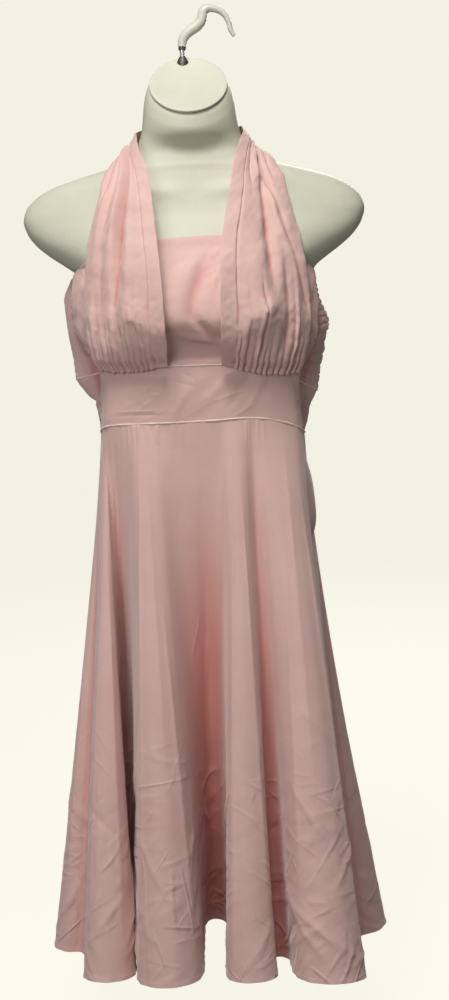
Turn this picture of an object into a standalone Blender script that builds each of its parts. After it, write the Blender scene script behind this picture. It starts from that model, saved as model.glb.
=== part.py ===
"""A halter-neck midi dress on a limbless hanging dress form.

The origin is the inside of the hook's crown, where a rail carries the form. +X is the viewer's right, +Y the
back and +Z up. The pieces are worked out in the dress's own coordinates, with x and y from the form's axis and z
from the lower waist seam at centre front, and one empty sets that point below the hook. All sizes are in metres.
"""

import math

import bmesh
import bpy
import numpy as np
from mathutils import Matrix, Vector
from mathutils.bvhtree import BVHTree

# Where the dress hangs from the hook: the lower waist seam at the form's axis, seen from the hook's crown.
WAIST_FROM_HOOK = (-0.032, -0.036, -0.4775)

# Cloth
CLOTH_THICKNESS = 0.0013
SEAM_GAP = 0.0003
EDGE_COLUMN = 0.0012
FORM_CLEARANCE = 0.0007
HIP_CLEARANCE = 0.0022
LAYER_GAP = 0.0007
SKIRT_LENGTH = 0.632

# Dress form
FORM_COLUMNS = 32
BUST_HALF_SPACING = 0.064
BUST_WIDTH = 0.043
BUST_RISE = 0.036
BUST_BOTTOM_Z = 0.066
BUST_APEX_Z = 0.116
BUST_TOP_Z = 0.215
CAP_RADIUS = 0.0455
CAP_THICKNESS = 0.003
CAP_TILT = math.radians(40.0)
CAP_CENTRE_Z = 0.3895

SHOULDERS_FROM_Z = 0.25

# Hook
STEM_RADIUS = 0.0031
STEM_X = -0.0052
STEM_Y = 0.036
CLAMP_RADIUS = 0.0046
CLAMP_Z = 0.4360
STEM_TOP_Z = 0.4390
HOOK_Y = 0.036


class Table:
    """A short table with named columns, whose rows are joined by a smooth curve over the first column."""

    def __init__(self, columns, rows):
        self.columns = columns.split()
        self.values = np.array(rows, float)

    def column(self, name):
        return self.values[:, self.columns.index(name)]

    def at(self, key, name):
        return smooth_between(self.values[:, 0], self.column(name), key)

    def point(self, key, names="x y z"):
        return np.array([self.at(key, name) for name in names.split()])


def smooth_between(keys, values, key):
    """Monotone cubic interpolation, so that the curve never overshoots its rows."""
    key = float(np.clip(key, keys[0], keys[-1]))
    i = int(np.clip(np.searchsorted(keys, key) - 1, 0, len(keys) - 2))
    steps = np.diff(keys)
    slopes = np.diff(values) / steps

    def tangent(j):
        if j == 0 or j == len(keys) - 1:
            return slopes[min(j, len(slopes) - 1)]
        before, after = slopes[j - 1], slopes[j]
        if before * after <= 0.0:
            return 0.0
        return 2.0 * before * after / (before + after)

    h = steps[i]
    t = (key - keys[i]) / h
    return (
        (2 * t**3 - 3 * t**2 + 1) * values[i]
        + (t**3 - 2 * t**2 + t) * h * tangent(i)
        + (-2 * t**3 + 3 * t**2) * values[i + 1]
        + (t**3 - t**2) * h * tangent(i + 1)
    )


def smoothstep(low, high, value):
    t = np.clip((value - low) / (high - low), 0.0, 1.0)
    return t * t * (3.0 - 2.0 * t)


def curve_through(points, closed=False, per_span=16):
    """A centripetal Catmull-Rom curve through the points, as a fine polyline."""
    points = np.array(points, float)
    if closed:
        padded = np.vstack([points[-1], points, points[0], points[1]])
    else:
        padded = np.vstack([2 * points[0] - points[1], points, 2 * points[-1] - points[-2]])
    line = []
    for p0, p1, p2, p3 in zip(padded[:-3], padded[1:-2], padded[2:-1], padded[3:]):
        k1 = max(np.linalg.norm(p1 - p0), 1e-9) ** 0.5
        k2 = k1 + max(np.linalg.norm(p2 - p1), 1e-9) ** 0.5
        k3 = k2 + max(np.linalg.norm(p3 - p2), 1e-9) ** 0.5
        for t in np.linspace(k1, k2, per_span, endpoint=False):
            a1 = (k1 - t) / k1 * p0 + t / k1 * p1
            a2 = (k2 - t) / (k2 - k1) * p1 + (t - k1) / (k2 - k1) * p2
            a3 = (k3 - t) / (k3 - k2) * p2 + (t - k2) / (k3 - k2) * p3
            b1 = (k2 - t) / k2 * a1 + t / k2 * a2
            b2 = (k3 - t) / (k3 - k1) * a2 + (t - k1) / (k3 - k1) * a3
            line.append((k2 - t) / (k2 - k1) * b1 + (t - k1) / (k2 - k1) * b2)
    line.append(points[0] if closed else points[-1])
    return np.array(line)


def lengths_along(line):
    return np.concatenate([[0.0], np.cumsum(np.linalg.norm(np.diff(line, axis=0), axis=1))])


def point_along(line, share):
    """The point at a share from 0 to 1 of a polyline's length."""
    lengths = lengths_along(line)
    wanted = np.clip(share, 0.0, 1.0) * lengths[-1]
    return np.array([np.interp(wanted, lengths, line[:, axis]) for axis in range(line.shape[1])])


class Surface:
    """A surface that cloth lies on, made from rows of points that run from the viewer's left to the right."""

    def __init__(self, rows, closed=False):
        points, faces = [tuple(point) for row in rows for point in row], []
        count = len(rows[0])
        for i in range(len(rows) - 1):
            for j in range(count if closed else count - 1):
                k = (j + 1) % count
                here, across = i * count + j, i * count + k
                faces.append((here, across, across + count))
                faces.append((here, across + count, here + count))
        self.tree = BVHTree.FromPolygons(points, faces)

    def shortfall(self, point, gap):
        """The step that a point needs to keep the gap: level on the trunk, straight out on the shoulders."""
        nearest, normal, _, _ = self.tree.find_nearest(Vector(point))
        away = Vector(point) - nearest
        depth = away.dot(normal)
        if depth >= gap:
            return np.zeros(3)
        beyond = (away - normal * depth).length
        step = np.array(normal) * (gap - depth) * (1.0 - smoothstep(0.003, 0.015, beyond))
        if point[2] < SHOULDERS_FROM_Z:
            step = step / max(0.3, math.hypot(normal.x, normal.y))
            step[2] = 0.0
        return step

    def lifted(self, point, gap):
        return np.array(point) + self.shortfall(point, gap)


def rest_on(rows, surfaces, gap, closed=False, together=(), held_rows=(), rounds=8):
    """Moves a panel's points out until its faces, not only their corners, keep the gap.

    The columns of a group in together move by the same step, so that a seam's two edges stay parallel, and the
    held rows stay where they are.
    """
    grid = np.array(rows, float)
    height, width = grid.shape[:2]
    shares = (0.0, 0.25, 0.5, 0.75)
    for _ in range(rounds):
        step = np.zeros_like(grid)
        for i, j in np.ndindex(height, width):
            i2, j2 = min(i + 1, height - 1), (j + 1) % width if closed else min(j + 1, width - 1)
            here, across, far, above = grid[i, j], grid[i, j2], grid[i2, j2], grid[i2, j]
            for u, v in ((u, v) for u in shares for v in shares):
                if (u and i2 == i) or (v and j2 == j):
                    continue
                if v >= u:
                    middle, corners = here + v * (across - here) + u * (far - across), ((i, j), (i, j2), (i2, j2))
                else:
                    middle, corners = here + u * (above - here) + v * (far - above), ((i, j), (i2, j2), (i2, j))
                for surface in surfaces:
                    push = surface.shortfall(middle, gap)
                    size = push @ push
                    if size > 0.0:
                        for corner in corners if u or v else corners[:1]:
                            if size > step[corner] @ step[corner]:
                                step[corner] = push
        if not np.any(step):
            break
        for columns in together:
            for row in step:
                most = max(columns, key=lambda column: row[column] @ row[column])
                row[list(columns)] = row[most].copy()
        step[list(held_rows)] = 0.0
        grid += step
    return [list(row) for row in grid]


# Dress form: horizontal sections from the hips up, tilted towards the slanted cut of the neck.
FORM = Table(
    "z half_width front back shift tilt squareness",
    [
        (-0.174, 0.080, 0.040, 0.050, 0.006, 0, 2.2),
        (-0.171, 0.104, 0.056, 0.068, 0.006, 0, 2.2),
        (-0.158, 0.121, 0.068, 0.084, 0.006, 0, 2.2),
        (-0.125, 0.129, 0.076, 0.092, 0.004, 0, 2.3),
        (-0.085, 0.126, 0.078, 0.088, 0.002, 0, 2.3),
        (-0.045, 0.117, 0.077, 0.079, 0.000, 0, 2.4),
        (0.000, 0.1115, 0.0765, 0.072, 0.000, 0, 2.4),
        (0.035, 0.1105, 0.0770, 0.071, 0.000, 0, 2.4),
        (0.067, 0.1125, 0.0785, 0.074, 0.000, 0, 2.4),
        (0.100, 0.1195, 0.082, 0.080, 0.000, 0, 2.4),
        (0.135, 0.128, 0.084, 0.086, 0.002, 0, 2.4),
        (0.160, 0.134, 0.083, 0.088, 0.004, 0, 2.4),
        (0.174, 0.141, 0.081, 0.088, 0.005, 0, 2.4),
        (0.186, 0.156, 0.078, 0.086, 0.006, 0, 2.4),
        (0.198, 0.173, 0.074, 0.083, 0.007, 0, 2.4),
        (0.212, 0.189, 0.069, 0.079, 0.008, 0, 2.4),
        (0.226, 0.1985, 0.063, 0.074, 0.009, 0, 2.4),
        (0.240, 0.2025, 0.057, 0.068, 0.010, 0, 2.4),
        (0.254, 0.1985, 0.052, 0.062, 0.010, 0, 2.3),
        (0.267, 0.186, 0.048, 0.056, 0.010, 0, 2.2),
        (0.278, 0.166, 0.045, 0.051, 0.010, 0, 2.1),
        (0.287, 0.138, 0.0435, 0.049, 0.010, 0, 2.0),
        (0.294, 0.112, 0.043, 0.049, 0.009, 2, 2.0),
        (0.301, 0.090, 0.043, 0.049, 0.008, 5, 2.0),
        (0.310, 0.0745, 0.044, 0.049, 0.007, 10, 2.0),
        (0.322, 0.0640, 0.045, 0.049, 0.006, 16, 2.0),
        (0.338, 0.0575, 0.046, 0.049, 0.004, 24, 2.0),
        (0.354, 0.0550, 0.047, 0.049, 0.003, 31, 2.0),
        (0.368, 0.0530, 0.047, 0.048, 0.002, 37, 2.0),
        (0.379, 0.0500, 0.046, 0.046, 0.001, 40, 2.0),
        (0.386, 0.0460, 0.044, 0.044, 0.000, 40, 2.0),
        (0.3878, 0.0440, 0.0425, 0.0425, 0.000, 40, 2.0),
    ],
)


def bust(x, z):
    """How far the form's general bust stands out of its plain front section."""
    rise = smoothstep(BUST_BOTTOM_Z, BUST_APEX_Z, z) * (1.0 - smoothstep(BUST_APEX_Z, BUST_TOP_Z, z))
    left = math.exp(-(((x + BUST_HALF_SPACING) / BUST_WIDTH) ** 2))
    right = math.exp(-(((x - BUST_HALF_SPACING) / BUST_WIDTH) ** 2))
    return BUST_RISE * rise * (left + right)


def form_reach(x, z):
    """The share of the section's depth that is left at x, from 1 on the axis to 0 at the side."""
    squareness = FORM.at(z, "squareness")
    inside = max(0.0, 1.0 - abs(x / FORM.at(z, "half_width")) ** squareness)
    return inside ** (1.0 / squareness), inside


def form_front(x, z):
    reach, inside = form_reach(x, z)
    return FORM.at(z, "shift") - FORM.at(z, "front") * reach - bust(x, z) * min(1.0, 3.0 * inside)


def form_section(z, columns):
    points = []
    squareness = FORM.at(z, "squareness")
    for k in range(columns):
        angle = 2.0 * math.pi * k / columns
        c, s = math.cos(angle), math.sin(angle)
        x = FORM.at(z, "half_width") * math.copysign(abs(c) ** (2.0 / squareness), c)
        reach = math.copysign(abs(s) ** (2.0 / squareness), s)
        y = FORM.at(z, "shift")
        if s < 0.0:
            inside = 1.0 - abs(c) ** 2
            y += FORM.at(z, "front") * reach - bust(x, z) * min(1.0, 3.0 * inside)
        else:
            y += FORM.at(z, "back") * reach
        tilt = math.tan(math.radians(FORM.at(z, "tilt")))
        points.append((x, y, z + tilt * (y - FORM.at(z, "shift"))))
    return points


# Side seams and the slack cloth behind them. Station 0 is the lower waist seam, 1 the upper one and 2 the top edge.
SEAM_LEFT = Table(
    "station x y z",
    [
        (0.0, -0.1235, -0.014, -0.0105),
        (0.5, -0.1205, -0.028, 0.0280),
        (1.0, -0.1185, -0.041, 0.0645),
        (1.2, -0.1290, -0.040, 0.0840),
        (1.45, -0.1450, -0.033, 0.1120),
        (1.75, -0.1480, -0.030, 0.1450),
        (2.0, -0.1440, -0.027, 0.1740),
    ],
)
SEAM_RIGHT = Table(
    "station x y z",
    [
        (0.0, 0.1185, -0.014, -0.0205),
        (0.5, 0.1155, -0.028, 0.0150),
        (1.0, 0.1140, -0.041, 0.0500),
        (1.2, 0.1250, -0.040, 0.0700),
        (1.45, 0.1390, -0.033, 0.1000),
        (1.75, 0.1390, -0.030, 0.1370),
        (2.0, 0.1365, -0.027, 0.1680),
    ],
)
SLACK_LEFT = Table(
    "station x y z",
    [
        (0.0, -0.1245, 0.012, -0.0140),
        (0.35, -0.1290, 0.014, 0.0170),
        (0.7, -0.1420, 0.016, 0.0370),
        (1.0, -0.1515, 0.018, 0.0520),
        (1.2, -0.1535, 0.016, 0.0750),
        (1.45, -0.1580, 0.012, 0.1080),
        (1.75, -0.1600, 0.008, 0.1450),
        (2.0, -0.1500, 0.002, 0.1690),
    ],
)
SLACK_RIGHT = Table(
    "station x y z",
    [
        (0.0, 0.1210, 0.012, -0.0240),
        (0.35, 0.1250, 0.014, -0.0040),
        (0.7, 0.1320, 0.016, 0.0120),
        (1.0, 0.1390, 0.018, 0.0260),
        (1.2, 0.1440, 0.016, 0.0560),
        (1.45, 0.1555, 0.012, 0.1040),
        (1.75, 0.1440, 0.006, 0.1370),
        (2.0, 0.1390, 0.000, 0.1620),
    ],
)
# The tuck between the side seam and the slack cloth: its depth at each station, and how far along it lies.
TUCK = Table(
    "station left right along",
    [
        (0.0, 0.0005, 0.0005, 0.45),
        (0.5, 0.0040, 0.0040, 0.42),
        (0.85, 0.0100, 0.0080, 0.40),
        (1.1, 0.0100, 0.0090, 0.40),
        (1.45, 0.0060, 0.0060, 0.42),
        (2.0, 0.0015, 0.0015, 0.45),
    ],
)
BACK = Table(
    "station half_width y z",
    [
        (0.0, 0.083, 0.0790, -0.012),
        (0.5, 0.088, 0.0800, 0.016),
        (1.0, 0.094, 0.0840, 0.044),
        (1.5, 0.100, 0.0930, 0.092),
        (2.0, 0.100, 0.0980, 0.140),
    ],
)

# Heights of the waistband's seams and of the bodice's top edge across the front, from the left to the right.
FRONT_EDGES = Table(
    "across lower upper top",
    [
        (-1.00, -0.0105, 0.0645, 0.1740),
        (-0.90, -0.0010, 0.0665, 0.1860),
        (-0.60, 0.0004, 0.0660, 0.2030),
        (0.00, 0.0008, 0.0648, 0.2090),
        (0.38, 0.0022, 0.0640, 0.2095),
        (0.64, -0.0010, 0.0620, 0.2000),
        (0.92, -0.0125, 0.0530, 0.1780),
        (1.00, -0.0205, 0.0500, 0.1680),
    ],
)
WAIST_FRONT_DEPTH = 0.0805
WAIST_SQUARENESS = 2.6
WAIST_CORNER_SPREAD = 1.05
BAND_STATIONS = (0.0, 0.33, 0.67, 0.985, 1.0)
BAND_GAP = 0.0004
FRONT_COLUMNS = 27
BACK_COLUMNS = 35
SHIRRING_RIDGES = 6
SHIRRING_HEIGHT = 0.0011
ACROSS_WAIST = (-0.93, -0.82, -0.64, -0.4, -0.13, 0.13, 0.4, 0.64, 0.82, 0.93)
ACROSS_BODICE = (-0.93, -0.82, -0.66, -0.44, -0.2, 0.0, 0.2, 0.44, 0.66, 0.82, 0.93)


def waist_front_points(station):
    """The front of the waistband between the side seams."""
    points = []
    for across in ACROSS_WAIST:
        x = across * (-SEAM_LEFT.at(station, "x") if across < 0 else SEAM_RIGHT.at(station, "x"))
        reach = 1.0 - abs(across / WAIST_CORNER_SPREAD) ** WAIST_SQUARENESS
        y = -WAIST_FRONT_DEPTH * reach ** (1.0 / WAIST_SQUARENESS) - 0.0015 * station
        low, high = FRONT_EDGES.at(across, "lower"), FRONT_EDGES.at(across, "upper")
        points.append((x, y, low + (high - low) * station))
    return points


def bodice_front_points(station):
    """The strapless front between the side seams: it follows the bust and spans the hollow between."""
    points = []
    for across in ACROSS_BODICE:
        side = SEAM_LEFT.point(station) if across < 0 else SEAM_RIGHT.point(station)
        x = abs(across) * side[0]
        low, high = FRONT_EDGES.at(across, "upper"), FRONT_EDGES.at(across, "top")
        z = low + (high - low) * (station - 1.0)
        y = form_front(x, z)
        if abs(x) < BUST_HALF_SPACING:
            y += 0.75 * min(0.0, form_front(BUST_HALF_SPACING, z) - y)
        share = max(0.0, (abs(across) - 0.6) / 0.4) ** 2
        y = (1.0 - share) * min(y, form_front(0.66 * side[0], z)) + share * side[1]
        waist = -0.082 * (1.0 - abs(across / WAIST_CORNER_SPREAD) ** WAIST_SQUARENESS) ** (1.0 / WAIST_SQUARENESS)
        near_band = 1.0 - smoothstep(1.0, 1.15, station)
        y = near_band * waist + (1.0 - near_band) * y
        points.append((x, y, z))
    return points


def tucked(seam, slack, station, side):
    """A point on the way from the seam to the slack cloth, moved inwards by the tuck's depth."""
    start, end = seam.point(station), slack.point(station)
    point = start + (end - start) * TUCK.at(station, "along")
    point[0] -= math.copysign(TUCK.at(station, side), point[0])
    return point


def trunk_ring(station):
    """The outline of band and bodice at a station: the front, left to right, and the back, right to left."""
    front = waist_front_points(station) if station <= 1.0 else bodice_front_points(station)
    half, y, z = (BACK.at(station, name) for name in ("half_width", "y", "z"))
    left, right = SLACK_LEFT.point(station), SLACK_RIGHT.point(station)
    back = [tucked(SEAM_RIGHT, SLACK_RIGHT, station, "right"), right]
    back += [(half, 0.62 * y + 0.38 * right[1] + 0.010, 0.5 * (z + right[2]))]
    back += [(0.45 * half, 0.97 * y, z), (0.0, y, z), (-0.45 * half, 0.97 * y, z)]
    back += [(-half, 0.62 * y + 0.38 * left[1] + 0.010, 0.5 * (z + left[2])), left]
    back += [tucked(SEAM_LEFT, SLACK_LEFT, station, "left")]
    controls = [SEAM_LEFT.point(station), *front, SEAM_RIGHT.point(station), *back]
    line = curve_through(controls, closed=True)
    turn = (len(front) + 1) * 16
    return line[: turn + 1], line[turn:]


# Halter panels: each row joins a point on the inner edge to one on the outer edge, from the waistband to the nape.
HALTER_LEFT = Table(
    "row inner_x inner_y inner_z outer_x outer_y outer_z puff",
    [
        (0.0, -0.0378, -0.0850, 0.0660, -0.1165, -0.0450, 0.0672, 0.0000),
        (0.5, -0.0370, -0.0900, 0.0725, -0.1205, -0.0480, 0.0745, 0.0020),
        (1.0, -0.0362, -0.0960, 0.0800, -0.1240, -0.0500, 0.0835, 0.0040),
        (2.0, -0.0347, -0.1080, 0.0950, -0.1260, -0.0500, 0.0988, 0.0050),
        (3.0, -0.0342, -0.1150, 0.1130, -0.1264, -0.0500, 0.1170, 0.0050),
        (4.0, -0.0350, -0.1170, 0.1390, -0.1248, -0.0500, 0.1446, 0.0060),
        (5.0, -0.0374, -0.1120, 0.1720, -0.1211, -0.0480, 0.1786, 0.0080),
        (6.0, -0.0410, -0.1000, 0.2057, -0.1153, -0.0420, 0.2130, 0.0090),
        (7.0, -0.0442, -0.0860, 0.2400, -0.1066, -0.0330, 0.2475, 0.0090),
        (8.0, -0.0470, -0.0760, 0.2640, -0.0985, -0.0220, 0.2700, 0.0080),
        (9.0, -0.0520, -0.0620, 0.2900, -0.0925, -0.0080, 0.2900, 0.0060),
        (10.0, -0.0590, -0.0360, 0.3170, -0.0885, 0.0080, 0.3015, 0.0040),
        (11.0, -0.0605, -0.0050, 0.3330, -0.0810, 0.0260, 0.3060, 0.0020),
        (12.0, -0.0525, 0.0270, 0.3410, -0.0660, 0.0430, 0.3078, 0.0015),
        (13.0, -0.0310, 0.0480, 0.3450, -0.0370, 0.0570, 0.3088, 0.0015),
        (13.6, -0.0130, 0.0555, 0.3460, -0.0150, 0.0612, 0.3080, 0.0015),
        (14.0, -0.00015, 0.0560, 0.3460, -0.00015, 0.0615, 0.3080, 0.0015),
    ],
)
HALTER_RIGHT = Table(
    "row inner_x inner_y inner_z outer_x outer_y outer_z puff",
    [
        (0.0, 0.0222, -0.0850, 0.0650, 0.1130, -0.0450, 0.0545, 0.0000),
        (0.5, 0.0219, -0.0900, 0.0705, 0.1160, -0.0480, 0.0625, 0.0020),
        (1.0, 0.0216, -0.0960, 0.0780, 0.1190, -0.0500, 0.0720, 0.0040),
        (2.0, 0.0210, -0.1080, 0.0930, 0.1227, -0.0500, 0.0885, 0.0050),
        (3.0, 0.0203, -0.1150, 0.1100, 0.1239, -0.0500, 0.1060, 0.0050),
        (4.0, 0.0208, -0.1170, 0.1365, 0.1221, -0.0500, 0.1336, 0.0060),
        (5.0, 0.0233, -0.1120, 0.1694, 0.1188, -0.0480, 0.1680, 0.0080),
        (6.0, 0.0272, -0.1000, 0.2027, 0.1122, -0.0420, 0.2030, 0.0090),
        (7.0, 0.0349, -0.0860, 0.2364, 0.1043, -0.0330, 0.2383, 0.0090),
        (8.0, 0.0400, -0.0760, 0.2610, 0.0975, -0.0220, 0.2640, 0.0080),
        (9.0, 0.0450, -0.0620, 0.2870, 0.0915, -0.0080, 0.2890, 0.0060),
        (10.0, 0.0530, -0.0370, 0.3150, 0.0880, 0.0080, 0.3015, 0.0040),
        (11.0, 0.0590, -0.0050, 0.3330, 0.0810, 0.0260, 0.3060, 0.0020),
        (12.0, 0.0525, 0.0270, 0.3410, 0.0660, 0.0430, 0.3078, 0.0015),
        (13.0, 0.0310, 0.0480, 0.3450, 0.0370, 0.0570, 0.3088, 0.0015),
        (13.6, 0.0130, 0.0555, 0.3460, 0.0150, 0.0612, 0.3080, 0.0015),
        (14.0, 0.00015, 0.0560, 0.3460, 0.00015, 0.0615, 0.3080, 0.0015),
    ],
)
HALTER_ROWS = (0, 0.5, 1.2, 2.0, 2.7, 3.3, 4.0, 4.8, 5.8, 6.8, 8.0, 9.2, 10.2, 11.1, 12.0, 13.0, 13.95, 14.0)
HALTER_COLUMNS = 37
GATHERS_PER_PANEL = 9
GATHER_HEIGHT = 0.0023
GATHER_FADES_BY_ROW = 3.2
EDGE_BAND = 0.15
EDGE_BAND_HEIGHT = 0.0008

# Folds of the halter panels: share across from the inner edge, at the start and the end row.
HALTER_LEFT_FOLDS = Table(
    "fold start_row start_across end_row end_across depth half_width",
    [
        (0, 3.2, 0.52, 10.5, 0.50, 0.0060, 0.075),
        (1, 0.0, 0.27, 3.0, 0.17, 0.0022, 0.040),
    ],
)
HALTER_RIGHT_FOLDS = Table(
    "fold start_row start_across end_row end_across depth half_width",
    [
        (0, 3.5, 0.46, 10.5, 0.50, 0.0055, 0.070),
        (1, 2.5, 0.90, 10.8, 0.74, 0.0045, 0.060),
        (2, 0.0, 0.38, 4.5, 0.36, 0.0016, 0.040),
    ],
)

# Flutes of the skirt at the hem, in the order in which the hem passes them, each with the valley that follows.
# The waist columns give the angle, seen from above, at which the fold leaves the waist seam.
FLUTES = Table(
    "flute crest_x crest_y face half_width round waist root_x root_y root_face root_half root_waist",
    [
        (0, -0.1400, -0.1520, -98, 0.0285, 0.030, -162, -0.1240, 0.0440, -92, 0.0085, -151),
        (1, -0.0670, -0.1620, -92, 0.0385, 0.046, -134, -0.0160, -0.0150, -88, 0.0120, -94),
        (2, 0.0260, -0.1780, -88, 0.0285, 0.028, -66, 0.0600, -0.1250, -95, 0.0080, -54),
        (3, 0.1150, -0.1730, -78, 0.0400, 0.046, -34, 0.1400, -0.0620, -50, 0.0120, -6.8),
        (4, 0.1660, -0.0020, 2, 0.0240, 0.030, 16, 0.1300, 0.0480, 35, 0.0120, 36),
        (5, 0.1300, 0.1120, 52, 0.0300, 0.038, 54, 0.0800, 0.0700, 72, 0.0120, 69),
        (6, 0.0330, 0.1400, 86, 0.0310, 0.040, 84, -0.0220, 0.0760, 92, 0.0120, 98),
        (7, -0.0760, 0.1460, 100, 0.0310, 0.036, 113, -0.1200, 0.1000, 118, 0.0100, 128),
        (8, -0.1660, 0.0900, 148, 0.0280, 0.032, 144, -0.1660, 0.0280, 172, 0.0100, 158),
        (9, -0.1880, -0.0420, 196, 0.0230, 0.028, 172, -0.1520, -0.1060, 212, 0.0090, 186.7),
    ],
)
SKIRT_HEIGHTS = (0.0, 0.07, 0.16, 0.27, 0.41, 0.56, 0.71, 0.86, 1.0)
FRONT_SKIRT_COLUMNS = 78
BACK_SKIRT_COLUMNS = 56
CREST_EASE = 1.06
VALLEY_EASE = 1.85
HEM_RADIUS_X = 0.185
HEM_RADIUS_Y = 0.175


def hem_outline():
    """The hem seen from above as a closed fine polyline, with the polyline index of every crest and root."""
    controls, crests, roots = [], [], []
    for row in FLUTES.values:
        flute = dict(zip(FLUTES.columns, row))
        face = math.radians(flute["face"])
        out, side = np.array((math.cos(face), math.sin(face))), np.array((-math.sin(face), math.cos(face)))
        centre = np.array((flute["crest_x"], flute["crest_y"]))
        for degrees in (-95, -58, -24, 0, 24, 58, 95):
            angle = math.radians(degrees)
            if degrees == 0:
                crests.append(len(controls))
            across = flute["half_width"] * math.sin(angle) * side
            controls.append(centre + across + flute["round"] * math.cos(angle) * out)
        face = math.radians(flute["root_face"])
        out, side = np.array((math.cos(face), math.sin(face))), np.array((-math.sin(face), math.cos(face)))
        root = np.array((flute["root_x"], flute["root_y"]))
        for degrees in (-70, 0, 70):
            angle = math.radians(degrees)
            if degrees == 0:
                roots.append(len(controls))
            reach = flute["root_half"]
            controls.append(root + reach * math.sin(angle) * side + reach * (1 - math.cos(angle)) * out)
    per_span = 12
    line = curve_through(controls, closed=True, per_span=per_span)
    return line, [c * per_span for c in crests], [r * per_span for r in roots]


def waist_ring():
    """The lower waist seam as a closed outline with its angle seen from above, from -180 round to 180 degrees."""
    front, back = trunk_ring(0.0)
    ring = np.vstack([front[:-1], back[:-1]])
    angles = np.degrees(np.arctan2(ring[:, 1], ring[:, 0]))
    order = np.argsort(angles)
    return angles[order], ring[order]


class Skirt:
    """The skirt's cone: the hem's flutes joined to the waist seam by nearly straight lines."""

    def __init__(self, form):
        self.form = form
        self.angles, ring = waist_ring()
        self.ring = np.array([form.lifted(point, CLOTH_THICKNESS + FORM_CLEARANCE) for point in ring])
        line, crests, roots = hem_outline()
        self.hem = line
        self.lengths = lengths_along(line)
        keys = []
        for i, (crest, root) in enumerate(zip(crests, roots)):
            keys.append((self.lengths[crest], FLUTES.column("waist")[i]))
            keys.append((self.lengths[root], FLUTES.column("root_waist")[i]))
        keys = np.array(keys)
        self.total = self.lengths[-1]
        before = keys[-2:] - (self.total, 360.0)
        after = keys[:2] + (self.total, 360.0)
        self.keys = np.vstack([before, keys, after])
        self.left_seam = self.lengths[roots[-1]] - self.total
        self.right_seam = self.lengths[roots[3]]

    def waist_point(self, degrees):
        wrapped = (degrees + 180.0) % 360.0 - 180.0
        angles = np.concatenate([[self.angles[-1] - 360.0], self.angles, [self.angles[0] + 360.0]])
        ring = np.vstack([self.ring[-1], self.ring, self.ring[0]])
        return np.array([np.interp(wrapped, angles, ring[:, axis]) for axis in range(3)])

    def hem_point(self, length):
        wrapped = length % self.total
        return np.array([np.interp(wrapped, self.lengths, self.hem[:, axis]) for axis in range(2)])

    def point(self, length, height):
        """A point of the outer surface, at a length along the hem and a height from 0, waist, to 1, hem."""
        waist = self.waist_point(smooth_between(self.keys[:, 0], self.keys[:, 1], length))
        hem = self.hem_point(length)
        reach = math.hypot(hem[0] / HEM_RADIUS_X, hem[1] / HEM_RADIUS_Y)
        ease = VALLEY_EASE + (CREST_EASE - VALLEY_EASE) * smoothstep(0.25, 1.05, reach)
        spread = hem - waist[:2]
        drop = math.sqrt(SKIRT_LENGTH**2 - float(spread @ spread))
        z = waist[2] - SEAM_GAP - drop * height
        x, y = waist[:2] + spread * height**ease
        return np.array((x, y, z))


# Solids
def new_material(name, colour, roughness, metallic=0.0):
    material = bpy.data.materials.new(name)
    material.use_nodes = True
    shader = material.node_tree.nodes["Principled BSDF"]
    shader.inputs["Base Color"].default_value = (*colour, 1.0)
    shader.inputs["Roughness"].default_value = roughness
    shader.inputs["Metallic"].default_value = metallic
    return material


def finish(obj, material, carrier, smooth_angle=40.0):
    obj.data.materials.append(material)
    obj.parent = carrier
    if obj.type == "MESH":
        obj.data.shade_smooth()
        obj.data.set_sharp_from_angle(angle=math.radians(smooth_angle))
    return obj


def mesh_object(name, mesh, collection):
    data = bpy.data.meshes.new(name)
    mesh.to_mesh(data)
    mesh.free()
    obj = bpy.data.objects.new(name, data)
    collection.objects.link(obj)
    return obj


def loft(rows, closed):
    """A bmesh through rows of points, each row one section of a cloth panel or of the form."""
    mesh = bmesh.new()
    grid = [[mesh.verts.new(point) for point in row] for row in rows]
    for lower, upper in zip(grid[:-1], grid[1:]):
        count = len(lower)
        for i in range(count if closed else count - 1):
            j = (i + 1) % count
            mesh.faces.new((lower[i], lower[j], upper[j]))
            mesh.faces.new((lower[i], upper[j], upper[i]))
    return mesh, grid


def circle(x, y, z, radius, count):
    angles = np.linspace(0.0, 2.0 * math.pi, count, endpoint=False)
    return [(x + radius * math.cos(a), y + radius * math.sin(a), z) for a in angles]


def cloth_panel(name, rows, material, carrier, collection, thickness=CLOTH_THICKNESS):
    """A wall of cloth: the rows give its outer face and Solidify sets the inner one behind it.

    Each row runs from the viewer's left to the right on the front, and rows go up the garment.
    """
    mesh, _ = loft(rows, closed=False)
    obj = mesh_object(name, mesh, collection)
    wall = obj.modifiers.new("wall", "SOLIDIFY")
    wall.thickness = thickness
    wall.offset = -1.0
    wall.use_even_offset = False
    return finish(obj, material, carrier)


def trimmed(line, columns):
    """Points along a polyline that stop half a seam's gap short of each end, with a close one beside each end."""
    length = lengths_along(line)[-1]
    edge, beside = SEAM_GAP / 2 / length, (SEAM_GAP / 2 + EDGE_COLUMN) / length
    shares = [edge, *np.linspace(beside, 1.0 - beside, columns - 2), 1.0 - edge]
    return [point_along(line, share) for share in shares]


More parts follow.
